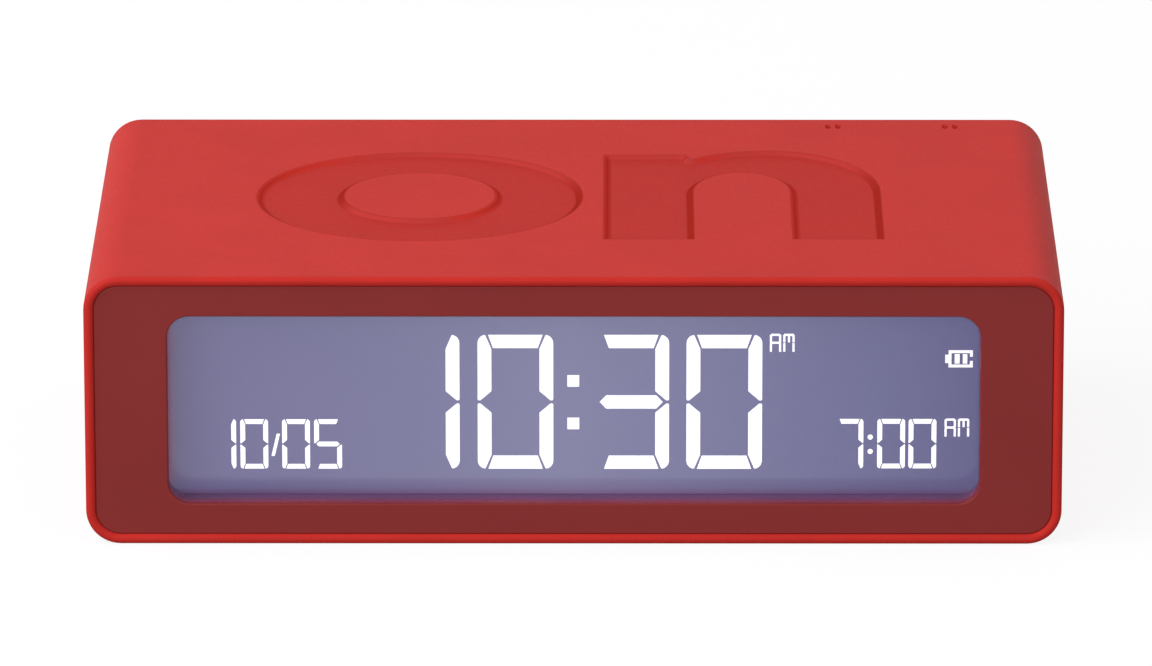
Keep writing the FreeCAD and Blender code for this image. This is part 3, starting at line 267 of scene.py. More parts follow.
foil.mottle(4, 0.06).grain(2.0, 0.02, 0.25, 0.42)
socket_plastic = Finish("socket_plastic", linear(236, 232, 218), 0.4).mottle(3, 0.02).grain(0.3, 0.004)
ribbon_grey = Finish("ribbon_grey", linear(150, 152, 156), 0.5)
nickel = Finish("nickel", linear(196, 192, 184), 0.24, Metallic=1.0)
nickel.mottle(2, 0.03).grain(0.5, 0.003, 0.18, 0.34)
switch_plastic = Finish("switch_plastic", linear(30, 30, 32), 0.4).grain(0.3, 0.004, 0.34, 0.48)
buzzer_plastic = Finish("buzzer_plastic", linear(24, 24, 26), 0.45).grain(0.4, 0.006, 0.38, 0.52)
brass = Finish("buzzer_brass", linear(206, 168, 96), 0.28, Metallic=1.0)
brass.mottle(2, 0.04).grain(0.4, 0.004, 0.22, 0.36)

# Board solder mask with copper tracks under it
lines = board_green.node("ShaderNodeTexBrick", Vector=board_green.place)
lines.inputs["Scale"].default_value = 330.0
lines.inputs["Mortar Size"].default_value = 0.08
tracks = board_green.mix(lines.outputs["Fac"], linear(22, 86, 48), linear(48, 128, 74))
board_green.feed(board_green.shader.inputs["Base Color"], tracks)

# Ribbon with its wires side by side
waves = ribbon_grey.node("ShaderNodeTexWave", Vector=ribbon_grey.place)
waves.bands_direction = "Z"
waves.inputs["Scale"].default_value = 320.0
stripes = ribbon_grey.mix(waves.outputs["Fac"], linear(126, 128, 132), linear(178, 180, 184))
ribbon_grey.feed(ribbon_grey.shader.inputs["Base Color"], stripes)
ridge = ribbon_grey.node("ShaderNodeBump", Height=waves.outputs["Fac"])
ridge.inputs["Distance"].default_value = 0.1 * MM
ribbon_grey.feed(ribbon_grey.shader.inputs["Normal"], ridge.outputs[0])

lens = Finish("clear_lens", linear(150, 124, 170), 0.05, IOR=1.49, Alpha=0.1).mottle(20.0, 0.03)

# The walls of the window and its tunnel, seen through the lens, are tinted: the panel's window wall a
# deeper red, and the tunnel a dim violet, which is painted display glow and shade
LENS_LAP = 1.25
WALL_REACH = 0.1
FRONT_EDGE = 0.2
GASKET_REACH = 0.05
lens_low, lens_high = span("window_lens")
tunnel_back = span("display_gasket")[0].y
tunnel_end = (lens_high.x, tunnel_back + GASKET_REACH, lens_high.z)
# Painted display glow and shade: the inner case's wall inside the window turns violet
case_plastic.tint_inside(tuple(lens_low), tunnel_end, linear(120, 60, 108))
# The panel's window wall turns a deeper red
panel_red.tint_inside(
    (lens_low.x + LENS_LAP - WALL_REACH, lens_low.y + FRONT_EDGE, lens_low.z + LENS_LAP - WALL_REACH),
    (lens_high.x - LENS_LAP + WALL_REACH, tunnel_back, lens_high.z - LENS_LAP + WALL_REACH),
    linear(152, 24, 46),
)

display = Finish("display_glass", linear(96, 92, 128), 0.12, IOR=1.5)
ink = Finish("display_light", linear(251, 252, 255), 0.4, Emission_Strength=0.85)
ink.shader.inputs["Emission Color"].default_value = (1.0, 1.0, 1.0, 1.0)


def light_the_display():
    """The display's glow: lightest in the middle and dim at the ends, with painted shade that darkens it to
    violet along the bottom.
    """
    (left, _, low), (right, _, high) = span("display_front_glass")
    parts = display.node("ShaderNodeSeparateXYZ", Vector=display.place)
    across = display.ramp(parts.outputs["X"], 0.0, 1.0, left * MM, right * MM)
    upright = display.ramp(parts.outputs["Z"], 0.0, 1.0, low * MM, high * MM)
    glow = display.tree.nodes.new("ShaderNodeValToRGB")
    display.feed(glow.inputs[0], across)
    edge = (lens_low.x + LENS_LAP - left) / (right - left)
    # The first stop paints a reddish band where the window's left edge begins
    stops = (
        (edge, (124, 90, 110)),
        (edge + 0.008, (106, 104, 136)),
        (0.08, (112, 115, 152)),
        (0.5, (134, 138, 170)),
        (0.86, (102, 108, 148)),
        (1.0, (84, 88, 132)),
    )
    while len(glow.color_ramp.elements) < len(stops):
        glow.color_ramp.elements.new(0.5)
    for element, (position, levels) in zip(glow.color_ramp.elements, stops):
        element.position = position
        element.color = (*linear(*levels), 1.0)
    off_centre = display.math("ABSOLUTE", display.math("SUBTRACT", across, 0.5), 0.0)
    centred = display.ramp(off_centre, 1.0, 0.0, 0.0, 0.4)
    # Painted shade: the glow darkens, then turns violet, along the bottom of the window
    bottom_shade = display.ramp(upright, 0.8, 0.0, 0.035, 0.11)
    bottom_shade_colour = display.mix(centred, linear(86, 78, 118), linear(118, 106, 140))
    shade = display.mix(bottom_shade, glow.outputs[0], bottom_shade_colour)
    foot = display.ramp(upright, 1.0, 0.0, 0.02, 0.05)
    foot_shade_colour = display.mix(centred, linear(84, 40, 84), linear(122, 84, 118))
    shade = display.mix(foot, shade, foot_shade_colour)
    cloud = display.ramp(display.noise(16.0, 1.0), 0.0, 0.12)
    lit = display.mix(cloud, shade, linear(104, 106, 144))
    display.feed(display.shader.inputs["Emission Color"], lit)
    display.shader.inputs["Emission Strength"].default_value = 0.82
    display.shader.inputs["Base Color"].default_value = (*linear(60, 58, 84), 1.0)


light_the_display()

FINISHES = {
    "inner_case": case_plastic,
    "front_panel": panel_red,
    "window_lens": lens,
    "display_gasket": gasket_violet_glow,
    "display_front_glass": display,
    "display_rear_glass": display,
    "light_guide": guide,
    "reflector_sheet": sheet_white,
    "backlight_lamps": lamp_resin,
    "contact_strip": contact_rubber,
    "display_tray": tray_plastic,
    "tray_screws": steel,
    "main_board": board_green,
    "board_screws": steel,
    "controller_chip": chip_resin,
    "clock_crystal": nickel,
    "board_capacitors": ceramic,
    "tilt_switch_cage": switch_plastic,
    "tilt_ball": steel,
    "touch_electrode_upper": foil,
    "touch_electrode_lower": foil,
    "touch_spring_upper": brass,
    "touch_spring_lower": brass,
    "ribbon_socket_front": socket_plastic,
    "ribbon_socket_rear": socket_plastic,
    "ribbon_cable": ribbon_grey,
    "rear_housing": rear_red,
    "battery_door": rear_red,
    "link_contact": nickel,
    "positive_contact": nickel,
    "negative_contact": nickel,
    "contact_spring_upper": nickel,
    "contact_spring_lower": nickel,
    "mode_key": key_red,
    "set_key": key_red,
    "minus_key": key_red,
    "plus_key": key_red,
    "mode_switch_plunger": switch_plastic,
    "set_switch_plunger": switch_plastic,
    "minus_switch_plunger": switch_plastic,
    "plus_switch_plunger": switch_plastic,
    "switch_housings": switch_plastic,
    "key_board": board_green,
    "key_board_screws": steel,
    "buzzer_cup": buzzer_plastic,
    "buzzer_disc": brass,
    "buzzer_foam_ring": foam_black,
}

for name, finish in FINISHES.items():
    node = nodes[name]
    node.data.materials.clear()
    node.data.materials.append(finish.material)


# Mesh helpers


def piece(name, points, faces, *finishes, body=BODY, normals=None, smooth=True, which=None):
    """A mesh object from points in millimetres, riding on a body; which gives each face its finish."""
    mesh = bpy.data.meshes.new(name)
    mesh.from_pydata([Vector(p) * MM for p in points], [], faces)
    for finish in finishes:
        mesh.materials.append(finish.material)
    if which:
        mesh.polygons.foreach_set("material_index", which)
    if smooth:
        mesh.polygons.foreach_set("use_smooth", [True] * len(mesh.polygons))
    mesh.update()
    if normals:
        mesh.normals_split_custom_set_from_vertices(normals)
    thing = bpy.data.objects.new(name, mesh)
    bpy.context.scene.collection.objects.link(thing)
    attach(thing, body)
    return thing


def arc(centre, radius_x, radius_y, start, end, steps):
    """Points of an elliptic arc, its ends included, angles in degrees."""
    out = []
    for k in range(steps + 1):
        angle = math.radians(start + (end - start) * k / steps)
        out.append((centre[0] + radius_x * math.cos(angle), centre[1] + radius_y * math.sin(angle)))
    return out


# Skin with the switch words moulded into both broad faces

WALL_ANGLE = math.radians(42)
ARC_STEPS = 4


def recess_profile(depth, rounding, margin):
    """Rows across a moulded wall: distance in from the outline, height, and slope angle."""
    side = rounding * math.sin(WALL_ANGLE)
    drop = rounding * (1 - math.cos(WALL_ANGLE))
    straight = (depth - 2 * drop) / math.tan(WALL_ANGLE)
    rows = [(-margin, 0.0, 0.0)]
    for k in range(ARC_STEPS + 1):
        angle = WALL_ANGLE * k / ARC_STEPS
        rows.append((rounding * math.sin(angle), -rounding * (1 - math.cos(angle)), angle))
    foot = 2 * side + straight
    for k in range(ARC_STEPS, -1, -1):
        angle = WALL_ANGLE * k / ARC_STEPS
        rows.append((foot - rounding * math.sin(angle), -depth + rounding * (1 - math.cos(angle)), angle))
    if margin < foot:
        rows.append((foot + margin, -depth, 0.0))
    return rows


LETTER_WALL = recess_profile(0.4, 0.64, 0.33)
DENT_WALL = recess_profile(0.24, 0.2, 0.14)


def inward_normals(loop):
    """The inward direction at each point of a loop, and how far its mitre stretches there."""
    out = []
    count = len(loop)
    for k in range(count):
        before, here, after = (Vector(loop[(k + j) % count]) for j in (-1, 0, 1))
        first = (here - before).normalized()
        second = (after - here).normalized()
        along = (first + second).normalized()
        stretch = 1 / max(0.5, along.dot(first))
        out.append((Vector((-along.y, along.x)), stretch))
    return out


def resampled(loop, step):
    """The loop with no side longer than a step."""
    out = []
    for a, b in zip(loop, loop[1:] + loop[:1]):
        gap = math.dist(a, b)
        if gap < 1e-6:
            continue
        parts = max(1, math.ceil(gap / step))
        for k in range(parts):
            out.append((a[0] + (b[0] - a[0]) * k / parts, a[1] + (b[1] - a[1]) * k / parts))
    return out


def distance_to(loop, x, y):
    """How far a point lies from a closed loop."""
    best = 1e9
    for (ax, ay), (bx, by) in zip(loop, loop[1:] + loop[:1]):
        dx, dy = bx - ax, by - ay
        share = max(0.0, min(1.0, ((x - ax) * dx + (y - ay) * dy) / (dx * dx + dy * dy)))
        best = min(best, math.hypot(x - ax - share * dx, y - ay - share * dy))
    return best


def moulded_rings(loops, profile, step=1.0):
    """Rings down a moulded wall: flat position, height and normal of each point, ring by ring."""
    rings = []
    for loop in loops:
        loop = resampled(loop, step)
        inward = inward_normals(loop)
        for distance, height, angle in profile:
            ring = []
            for (x, y), (direction, stretch) in zip(loop, inward):
                px = x + direction.x * distance * stretch
                py = y + direction.y * distance * stretch
                if distance_to(loop, px, py) < abs(distance) - 0.01:
                    continue
                lean = math.sin(angle)
                normal = (direction.x * lean, direction.y * lean, math.cos(angle))
                ring.append(((px, py), height, normal))
            rings.append(ring)
    return rings


def superellipse(centre, half_x, half_y, power, steps, clockwise=False):
    """A rounded loop between an ellipse and a box."""
    out = []
    for k in range(steps):
        angle = 2 * math.pi * k / steps * (-1 if clockwise else 1)
        c, s = math.cos(angle), math.sin(angle)
        x = math.copysign(abs(c) ** (2 / power), c) * half_x
        y = math.copysign(abs(s) ** (2 / power), s) * half_y
        out.append((centre[0] + x, centre[1] + y))
    return out


def letter_o(x, y):
    """The round letter: an outer loop and a counter."""
    outer = superellipse((x, y), 17.95, 17.3, 2.05, 120)
    counter = superellipse((x, y + 0.2), 8.2, 8.8, 2.05, 80, clockwise=True)
    return [outer, counter]


def letter_n(x, y):
    """The arched letter, from the foot of its stem, x and y at its lower left corner."""
    outline = [(0.0, 0.0), (10.0, 0.0), (10.0, 18.2)]
    outline += arc((15.25, 18.2), 5.25, 7.6, 180, 0, 28)[1:]
    outline += [(20.5, 0.0), (30.55, 0.0), (30.55, 18.6)]
    outline += arc((18.3, 18.6), 12.25, 16.0, 0, 90, 20)[1:]
    outline += arc((18.3, 22.3), 12.4, 12.3, 90, 134, 10)[1:]
    outline += [(9.2, 33.0), (0.0, 33.0)]
    return [[(x + px, y + py) for px, py in outline]]


def letter_f(x, y):
    """The hooked letter with its bar, x and y at the lower left corner of its stem's foot."""
    outline = [(4.2, 0.0), (13.2, 0.0), (13.2, 19.2), (19.6, 19.2), (19.6, 26.2), (13.2, 26.2)]
    outline += arc((18.4, 31.4), 5.2, 5.2, 180, 90, 8)
    outline += [(19.9, 36.6), (19.9, 43.6)]
    outline += arc((16.2, 31.6), 12.0, 12.0, 90, 180, 16)
    outline += [(4.2, 26.2), (0.0, 26.2), (0.0, 19.2), (4.2, 19.2)]
    return [[(x + px, y + py) for px, py in outline]]


def mirrored(loops):
    """The loops as they read on the underside, kept counter-clockwise."""
    return [[(x, -y) for x, y in reversed(loop)] for loop in loops]


def face_sheet(rings, half_x, half_y):
    """A flat sheet with the rings let into it, as points with heights and normals, and triangles."""
    flat = [(-half_x, -half_y), (half_x, -half_y), (half_x, half_y), (-half_x, half_y)]
    heights = [0.0] * 4
    normals = [(0.0, 0.0, 1.0)] * 4
    edges = [(0, 1), (1, 2), (2, 3), (3, 0)]
    for ring in rings:
        start = len(flat)
        for place, height, normal in ring:
            flat.append(place)
            heights.append(height)
            normals.append(normal)
        count = len(ring)
        edges += [(start + k, start + (k + 1) % count) for k in range(count)]
    places, _, faces, origins, _, _ = delaunay_2d_cdt([Vector(p) for p in flat], edges, [], 0, 1e-6)
    out_heights = []
    out_normals = []
    for source in origins:
        k = source[0] if source else 0
        out_heights.append(heights[k])
        out_normals.append(normals[k])
    return [tuple(p) for p in places], out_heights, out_normals, [list(f) for f in faces]


SKIN_CORNER = 3.75
SKIN_WALL = 1.045
CORNER_STEPS = 12
MOUTH_ROUNDING = 0.5
REAR_LIP = 0.54
FRONT_LIP = 0.6
FRONT_LIP_DEPTH = 0.7
ROUND_STEPS = 5

# Places of the moulded words and the small dents on the broad faces
ON_O = (-16.98, 0.03)
ON_N = (3.09, -16.55)
OFF_O = (-25.5, -5.6)
OFF_F = (-4.4, -22.6)
OFF_SECOND_F = (18.2, -22.6)
DENTS_X = (28.27, 29.39, 41.39, 42.51)
DENTS_Y = 27.8
DENT_HALF_WIDTH = 0.38
DENT_HALF_LENGTH = 1.0

# The skin's finishes by face, with painted shade on the sunken floors and walls, and the drops that tell a
# wall and a sunken floor from the face
PLAIN = 0
SHADED_FLOOR = 1
SHADED_WALL = 2
WALL_DROP = 0.004
FLOOR_DROP = 0.1


def skin_profile(front, rear, sunk):
    """Rows once round the skin's wall, front to rear: depth in, place on Y, and normal's angle."""
    profile = []
    for k in range(ROUND_STEPS + 1):
        angle = math.pi / 2 * k / ROUND_STEPS
        inset = MOUTH_ROUNDING * (1 - math.cos(angle))
        profile.append((inset, rear - MOUTH_ROUNDING * (1 - math.sin(angle)), angle))
    for k in range(ROUND_STEPS + 1):
        angle = math.pi / 2 * (1 + k / ROUND_STEPS)
        inset = SKIN_WALL - REAR_LIP * (1 + math.cos(angle))
        profile.append((inset, rear - REAR_LIP * (1 - math.sin(angle)), angle))
    meet = math.asin(1 - sunk / FRONT_LIP_DEPTH)
    for k in range(ROUND_STEPS + 1):
        angle = math.pi + meet + (math.pi / 2 - meet) * k / ROUND_STEPS
        inset = SKIN_WALL - FRONT_LIP * (math.cos(meet) + math.cos(angle))
        profile.append((inset, front + FRONT_LIP_DEPTH * (1 + math.sin(angle)), angle))
    for k in range(ROUND_STEPS + 1):
        angle = math.pi * (1.5 + 0.5 * k / ROUND_STEPS)
        inset = MOUTH_ROUNDING * (1 - math.cos(angle))
        profile.append((inset, front + MOUTH_ROUNDING * (1 + math.sin(angle)), angle))
    return profile


def skin_stations(width, height, mid_z):
    """Places round the skin's four corners: the corner's centre and the direction out of it."""
    stations = []
    for centre_x, centre_z, start in ((1, 1, 0), (-1, 1, 90), (-1, -1, 180), (1, -1, 270)):
        for k in range(CORNER_STEPS + 1):
            angle = math.radians(start + 90 * k / CORNER_STEPS)
            hub_x = centre_x * (width / 2 - SKIN_CORNER)
            hub_z = mid_z + centre_z * (height / 2 - SKIN_CORNER)
            stations.append((Vector((hub_x, hub_z)), math.cos(angle), math.sin(angle)))
    return stations


def make_skin():
    """The red skin: rounded tube, softened mouths and a moulded word on each broad face."""
    (left, front, floor), (right, rear, top) = span("outer_skin")
    width, height = right - left, top - floor
    sunk = span("front_panel")[0].y - front
    profile = skin_profile(front, rear, sunk)
    stations = skin_stations(width, height, floor + height / 2)

    points, normals = [], []
    for hub, c, s in stations:
        for depth, y, angle in profile:
            reach = SKIN_CORNER - depth
            points.append((hub.x + c * reach, y, hub.y + s * reach))
            out = math.cos(angle)
            normals.append((c * out, math.sin(angle), s * out))
    rows = len(profile)
    faces = []
    for k in range(len(stations)):
        after = (k + 1) % len(stations)
        side, step = divmod(k, CORNER_STEPS + 1)
        broad = step == CORNER_STEPS and side in (0, 2)
        for j in range(rows):
            following = (j + 1) % rows
            if broad and j == rows - 1:
                continue
            a, b = k * rows + j, after * rows + j
            c, d = after * rows + following, k * rows + following
            faces.append((a, d, c, b))

    half_x = width / 2 - SKIN_CORNER
    half_y = (rear - front) / 2 - MOUTH_ROUNDING
    on_word = letter_o(*ON_O) + letter_n(*ON_N)
    off_word = letter_o(*OFF_O) + letter_f(*OFF_F) + letter_f(*OFF_SECOND_F)
    dents = [arc((x, DENTS_Y), DENT_HALF_WIDTH, DENT_HALF_LENGTH, 0, 345, 23) for x in DENTS_X]
    upper = moulded_rings(on_word, LETTER_WALL) + moulded_rings(dents, DENT_WALL)
    lower = moulded_rings(mirrored(off_word), LETTER_WALL)
    which = [PLAIN] * len(faces)
    for level, sense, rings in ((top, 1, upper), (floor, -1, lower)):
        places, heights, slopes, triangles = face_sheet(rings, half_x, half_y)
        start = len(points)
        for (x, y), height_here, slope in zip(places, heights, slopes):
            points.append((x, y, level + sense * height_here))
            normals.append((slope[0], slope[1], sense * slope[2]))
        for triangle in triangles:
            order = triangle if sense > 0 else list(reversed(triangle))
            faces.append([start + k for k in order])
            drops = [-heights[k] for k in triangle]
            if max(drops) - min(drops) > WALL_DROP:
                which.append(SHADED_WALL)
            elif min(drops) > FLOOR_DROP:
                which.append(SHADED_FLOOR)
            else:
                which.append(PLAIN)
    # The second and third finishes paint shade into the sunken floors and walls
    finishes = (skin_red, recess_shaded_red, wall_shaded_red)
    skin = piece("moulded_skin", points, faces, *finishes, normals=normals, which=which)
    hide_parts("outer_skin")


make_skin()


# What the display shows: thin layers of light on its front glass

DIGIT_HEIGHT = 15.2
DIGIT_WIDTH = 8.24
STROKE = 1.58
SMALL_SCALE = 0.371
INK_THICK = 0.05
BIG_THINNING = 0.045
SMALL_THINNING = 0.03

SEGMENTS = {
    "0": "abcdef",
    "1": "bc",
    "3": "abcdg",
    "5": "acdfg",
    "7": "abc",
}


def upright_segment():
    """The upper left segment: rounded outside, mitred at the top and pointed at the middle."""
    middle = DIGIT_HEIGHT / 2
    outside = arc((0.95, DIGIT_HEIGHT - 0.98), 0.95, 0.98, 180, 102, 6)
    tip = [(0.92, DIGIT_HEIGHT - 0.06), (STROKE, DIGIT_HEIGHT - STROKE - 0.06)]
    foot = [(STROKE, middle + 1.2), (0.36, middle + 0.14), (0.1, middle + 0.14), (0.0, middle + 0.3)]
    return outside + tip + foot


def level_segment():
    """The top segment, narrower at its lower edge."""
    low = DIGIT_HEIGHT - STROKE
    right = DIGIT_WIDTH - 1.12
    return [(1.12, DIGIT_HEIGHT), (right, DIGIT_HEIGHT), (right - 0.56, low), (1.68, low)]


def middle_segment():
    """The crossbar, pointed at both ends."""
    middle = DIGIT_HEIGHT / 2
    half = STROKE / 2
    left = [(1.4, middle - half), (0.66, middle), (1.4, middle + half)]
    return left + [(DIGIT_WIDTH - x, z) for x, z in reversed(left)]


def flipped(outline, sideways=False, upside_down=False):
    """The outline turned over within the digit's cell."""
    out = outline
    if sideways:
        out = [(DIGIT_WIDTH - x, z) for x, z in out]
    if upside_down:
        out = [(x, DIGIT_HEIGHT - z) for x, z in out]
    return out


SEGMENT_SHAPES = {
    "a": level_segment(),
    "b": flipped(upright_segment(), sideways=True),
    "c": flipped(upright_segment(), sideways=True, upside_down=True),
    "d": flipped(level_segment(), upside_down=True),
    "e": flipped(upright_segment(), upside_down=True),
    "f": upright_segment(),
    "g": middle_segment(),
}


def counter_clockwise(outline):
    """The outline with its inside on the left."""
    area = sum(a[0] * b[1] - b[0] * a[1] for a, b in zip(outline, outline[1:] + outline[:1]))
    return outline if area > 0 else list(reversed(outline))


def thinned(outline, amount):
    """The outline drawn in by that much on every side."""
    loop = counter_clockwise(outline)
    out = []
    for (x, z), (inward, stretch) in zip(loop, inward_normals(loop)):
        out.append((x + inward.x * amount * stretch, z + inward.y * amount * stretch))
    return out


def digit(character, left, low, scale, thinning):
    """The outlines of a digit on the display, from its lower left corner."""
    out = []
    for segment in SEGMENTS[character]:
        outline = [(left + x * scale, low + z * scale) for x, z in SEGMENT_SHAPES[segment]]
        out.append(thinned(outline, thinning))
    return out


def bar(left, right, low, high):
    """A plain rectangle on the display."""
    return [(left, low), (right, low), (right, high), (left, high)]


def small_m(left, low, width, height, stroke):
    """The second small letter: an arch with three legs, its outer legs broken at the middle."""
    high = low + height
    middle = low + height / 2
    gap = 0.05
    centre = left + width / 2
    outer = [(left, left + stroke), (left + width - stroke, left + width)]
    out = [bar(left + stroke / 2, left + width - stroke / 2, high - stroke, high)]
    out += [bar(a, b, middle + gap, high - stroke / 2) for a, b in outer]
    out += [bar(a, b, low, middle - gap) for a, b in outer]
    out.append(bar(centre - stroke / 2, centre + stroke / 2, middle + gap, high - stroke / 2))
    return out


def small_letters(left, low):
    """The two small letters of the forenoon."""
    height, width, stroke = 2.02, 1.22, 0.23
    out = []
    high = low + height
    middle = low + height / 2
    gap = 0.04
    right = left + width
    out.append(bar(left + 0.15, right - 0.15, high - stroke, high))
    out.append(bar(left + stroke / 2, right - stroke / 2, middle - stroke / 2, middle + stroke / 2))
    for a, b in ((left, left + stroke), (right - stroke, right)):
        out.append(bar(a, b, middle + gap, high - stroke / 2))
        out.append(bar(a, b, low, middle - gap))
    return out + small_m(left + 1.44, low, width, height, stroke)


def battery_sign():
    """The battery sign: an outline with a nub on the left, a notch on the right and two blocks."""
    left, right, low, high, thick = 40.31, 42.92, 18.5, 20.42, 0.31
    nub, nub_half, notch_half = 0.36, 0.46, 0.24
    middle = (low + high) / 2
    shell = [
        (right, middle + notch_half), (right, high), (left, high), (left, middle + nub_half),
        (left - nub, middle + nub_half), (left - nub, middle - nub_half), (left, middle - nub_half),
        (left, low), (right, low), (right, middle - notch_half),
        (right - thick, middle - notch_half), (right - thick, low + thick), (left + thick, low + thick),
        (left + thick, high - thick), (right - thick, high - thick), (right - thick, middle + notch_half),
    ]
    blocks = [bar(start, end, 18.93, 19.99) for start, end in ((40.97, 41.5), (41.84, 42.33))]
    return [shell, *blocks]


def flat_layer(name, outlines, y, finish, body=BODY, thick=INK_THICK, facing=-1):
    """Thin printed or lit shapes on a plane across Y, from outlines in X and Z."""
    points, faces = [], []
    for outline in outlines:
        loop = counter_clockwise(outline)
        start = len(points)
        count = len(loop)
        points += [(x, y + facing * thick, z) for x, z in loop]
        points += [(x, y, z) for x, z in loop]
        front = [start + k for k in range(count)]
        sides = [(start + k, start + count + k, start + count + (k + 1) % count, start + (k + 1) % count)
                 for k in range(count)]
        if facing > 0:
            front.reverse()
            sides = [tuple(reversed(side)) for side in sides]
        faces.append(front)
        faces += sides
    return piece(name, points, faces, finish, body=body, smooth=False)


def make_display_signs():
    """The time, the date, the alarm time and the signs beside them."""
    face = span("display_front_glass")[0].y
    big_low = 6.98
    small_low = 6.99
    time = []
    for character, left in (("1", -20.51), ("0", -10.41), ("3", 2.06), ("0", 12.08)):
        time += digit(character, left, big_low, 1.0, BIG_THINNING)
    time += [bar(-0.7, 0.58, low, low + 1.3) for low in (11.5, 16.3)]
    flat_layer("display_time", time, face, ink)

    date = []
    for character, left in (("1", -39.45), ("0", -36.0), ("0", -31.49), ("5", -28.04)):
        date += digit(character, left, small_low, SMALL_SCALE, SMALL_THINNING)
    date.append([(-32.63, 8.46), (-32.27, 8.46), (-31.69, 10.96), (-32.05, 10.96)])
    flat_layer("display_date", date, face, ink)

    alarm = []
    for character, left in (("7", 28.18), ("0", 32.68), ("0", 36.05)):
        alarm += digit(character, left, small_low + 0.07, SMALL_SCALE, SMALL_THINNING)
    alarm += [arc((31.95, z), 0.29, 0.29, 0, 330, 11) for z in (9.0, 10.62)]
    flat_layer("display_alarm", alarm, face, ink)

    forenoon = small_letters(21.08, 20.25) + small_letters(39.95, 10.7)
    flat_layer("display_forenoon_signs", forenoon, face, ink)
    flat_layer("display_battery_sign", battery_sign(), face, ink)


make_display_signs()


# Dry cells with their jackets, crimped ends and buttons

jacket = Finish("cell_jacket", linear(46, 48, 54), 0.32, Coat_Weight=0.4)
jacket.mottle(6.0, 0.08).grain(0.4, 0.004, 0.26, 0.4)


def revolved(profile, steps):
    """Points and faces of a profile of along and radius turned about its axis."""
    points, faces = [], []
    for k in range(steps):
        angle = 2 * math.pi * k / steps
        points += [(along, radius * math.cos(angle), radius * math.sin(angle)) for along, radius in profile]
    rows = len(profile)
    for k in range(steps):
        a = k * rows
        b = (k + 1) % steps * rows
        for j in range(rows - 1):
            faces.append((a + j, b + j, b + j + 1, a + j + 1))
    return points, faces


CELL_PROFILE = [
    (0.06, 0.02), (0.06, 3.3), (0.16, 3.45), (0.16, 3.9), (0.0, 4.05), (0.02, 4.5), (0.14, 4.72),
    (0.24, 4.9), (0.4, 5.15), (0.75, 5.24), (1.4, 5.25), (42.2, 5.25), (42.85, 5.2), (43.2, 5.02),
    (43.34, 4.78), (43.32, 4.5), (43.2, 4.4), (43.2, 2.7), (43.3, 2.4), (43.45, 2.05), (43.6, 1.9),
    (44.25, 1.86), (44.44, 1.72), (44.5, 1.5), (44.5, 0.02),
]
JACKET_ROWS = range(6, 15)
CELL_STEPS = 48


def make_cell(node, toward_right, number):
    """A dry cell in place of its plain solid."""
    low, high = span(node)
    centre_y = (low.y + high.y) / 2
    centre_z = (low.z + high.z) / 2
    points, faces = revolved(CELL_PROFILE, CELL_STEPS)
    placed = []
    for along, y, z in points:
        x = low.x + along if toward_right else high.x - along
        placed.append((x, centre_y + (y if toward_right else -y), centre_z + z))
    rows = len(CELL_PROFILE) - 1
    which = [0 if k % rows in JACKET_ROWS else 1 for k in range(len(faces))]
    cell = piece(f"dry_cell_{number}", placed, faces, jacket, nickel, which=which)
    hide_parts(node)


make_cell("battery_cell_upper", True, 1)
make_cell("battery_cell_lower", False, 2)


# Rear screws with their cross recesses

SCREW_HEAD = 1.7
HEAD_EDGE = 0.25
HEAD_STEPS = 32
CROSS_REACH = 0.95
CROSS_HALF = 0.22
CROSS_DEPTH = 0.5
CROSS_TAPER = 0.72
SHANK_RADIUS = 0.9

# From the face of a head down to the end of its shank: distance along, and radius
SCREW_SKIRT = [
    (0.0, SCREW_HEAD - HEAD_EDGE), (0.08, SCREW_HEAD - 0.08), (0.25, SCREW_HEAD), (0.9, SCREW_HEAD),
    (0.9, SHANK_RADIUS), (8.9, SHANK_RADIUS), (8.9, 0.02),
]


def cross_outline():
    """The twelve corners of a cross recess."""
    arm = ((CROSS_REACH, -CROSS_HALF), (CROSS_REACH, CROSS_HALF), (CROSS_HALF, CROSS_HALF))
    cross = []
    for quarter in range(4):
        angle = math.radians(90 * quarter)
        c, s = math.cos(angle), math.sin(angle)
        cross += [(px * c - py * s, px * s + py * c) for px, py in arm]
    return cross


def screw_face():
    """The face of a screw head about its centre: places, how deep each lies, and triangles."""
    rim = SCREW_HEAD - HEAD_EDGE
    outline = arc((0, 0), rim, rim, 0, 360 - 360 / HEAD_STEPS, HEAD_STEPS - 1)
    cross = cross_outline()
    inner = [(px * CROSS_TAPER, py * CROSS_TAPER) for px, py in cross]
    flat = [Vector(place) for place in outline + cross + inner]
    depths = [0.0] * (len(outline) + len(cross)) + [CROSS_DEPTH] * len(inner)
    edges = []
    start = 0
    for loop in (outline, cross, inner):
        count = len(loop)
        edges += [(start + k, start + (k + 1) % count) for k in range(count)]
        start += count
    places, _, triangles, origins, _, _ = delaunay_2d_cdt(flat, edges, [], 0, 1e-6)
    return places, [depths[source[0]] for source in origins], triangles


def make_rear_screws():
    """Four pan heads, each with a cross recess, on the shanks of their solids."""
    low, high = span("rear_screws")
    face = high.y
    places, depths, triangles = screw_face()
    turned, sides = revolved(SCREW_SKIRT, HEAD_STEPS)
    points, faces = [], []
    for x in (low.x + SCREW_HEAD, high.x - SCREW_HEAD):
        for z in (low.z + SCREW_HEAD, high.z - SCREW_HEAD):
            start = len(points)
            points += [(x + place.x, face - depth, z + place.y) for place, depth in zip(places, depths)]
            faces += [[start + k for k in reversed(triangle)] for triangle in triangles]
            start = len(points)
            points += [(x + py, face - along, z + pz) for along, py, pz in turned]
            faces += [[start + k for k in side] for side in sides]
    screws = piece("rear_screw_heads", points, faces, steel, smooth=False)
    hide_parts("rear_screws")


make_rear_screws()


# Marks on the keys and words beside them

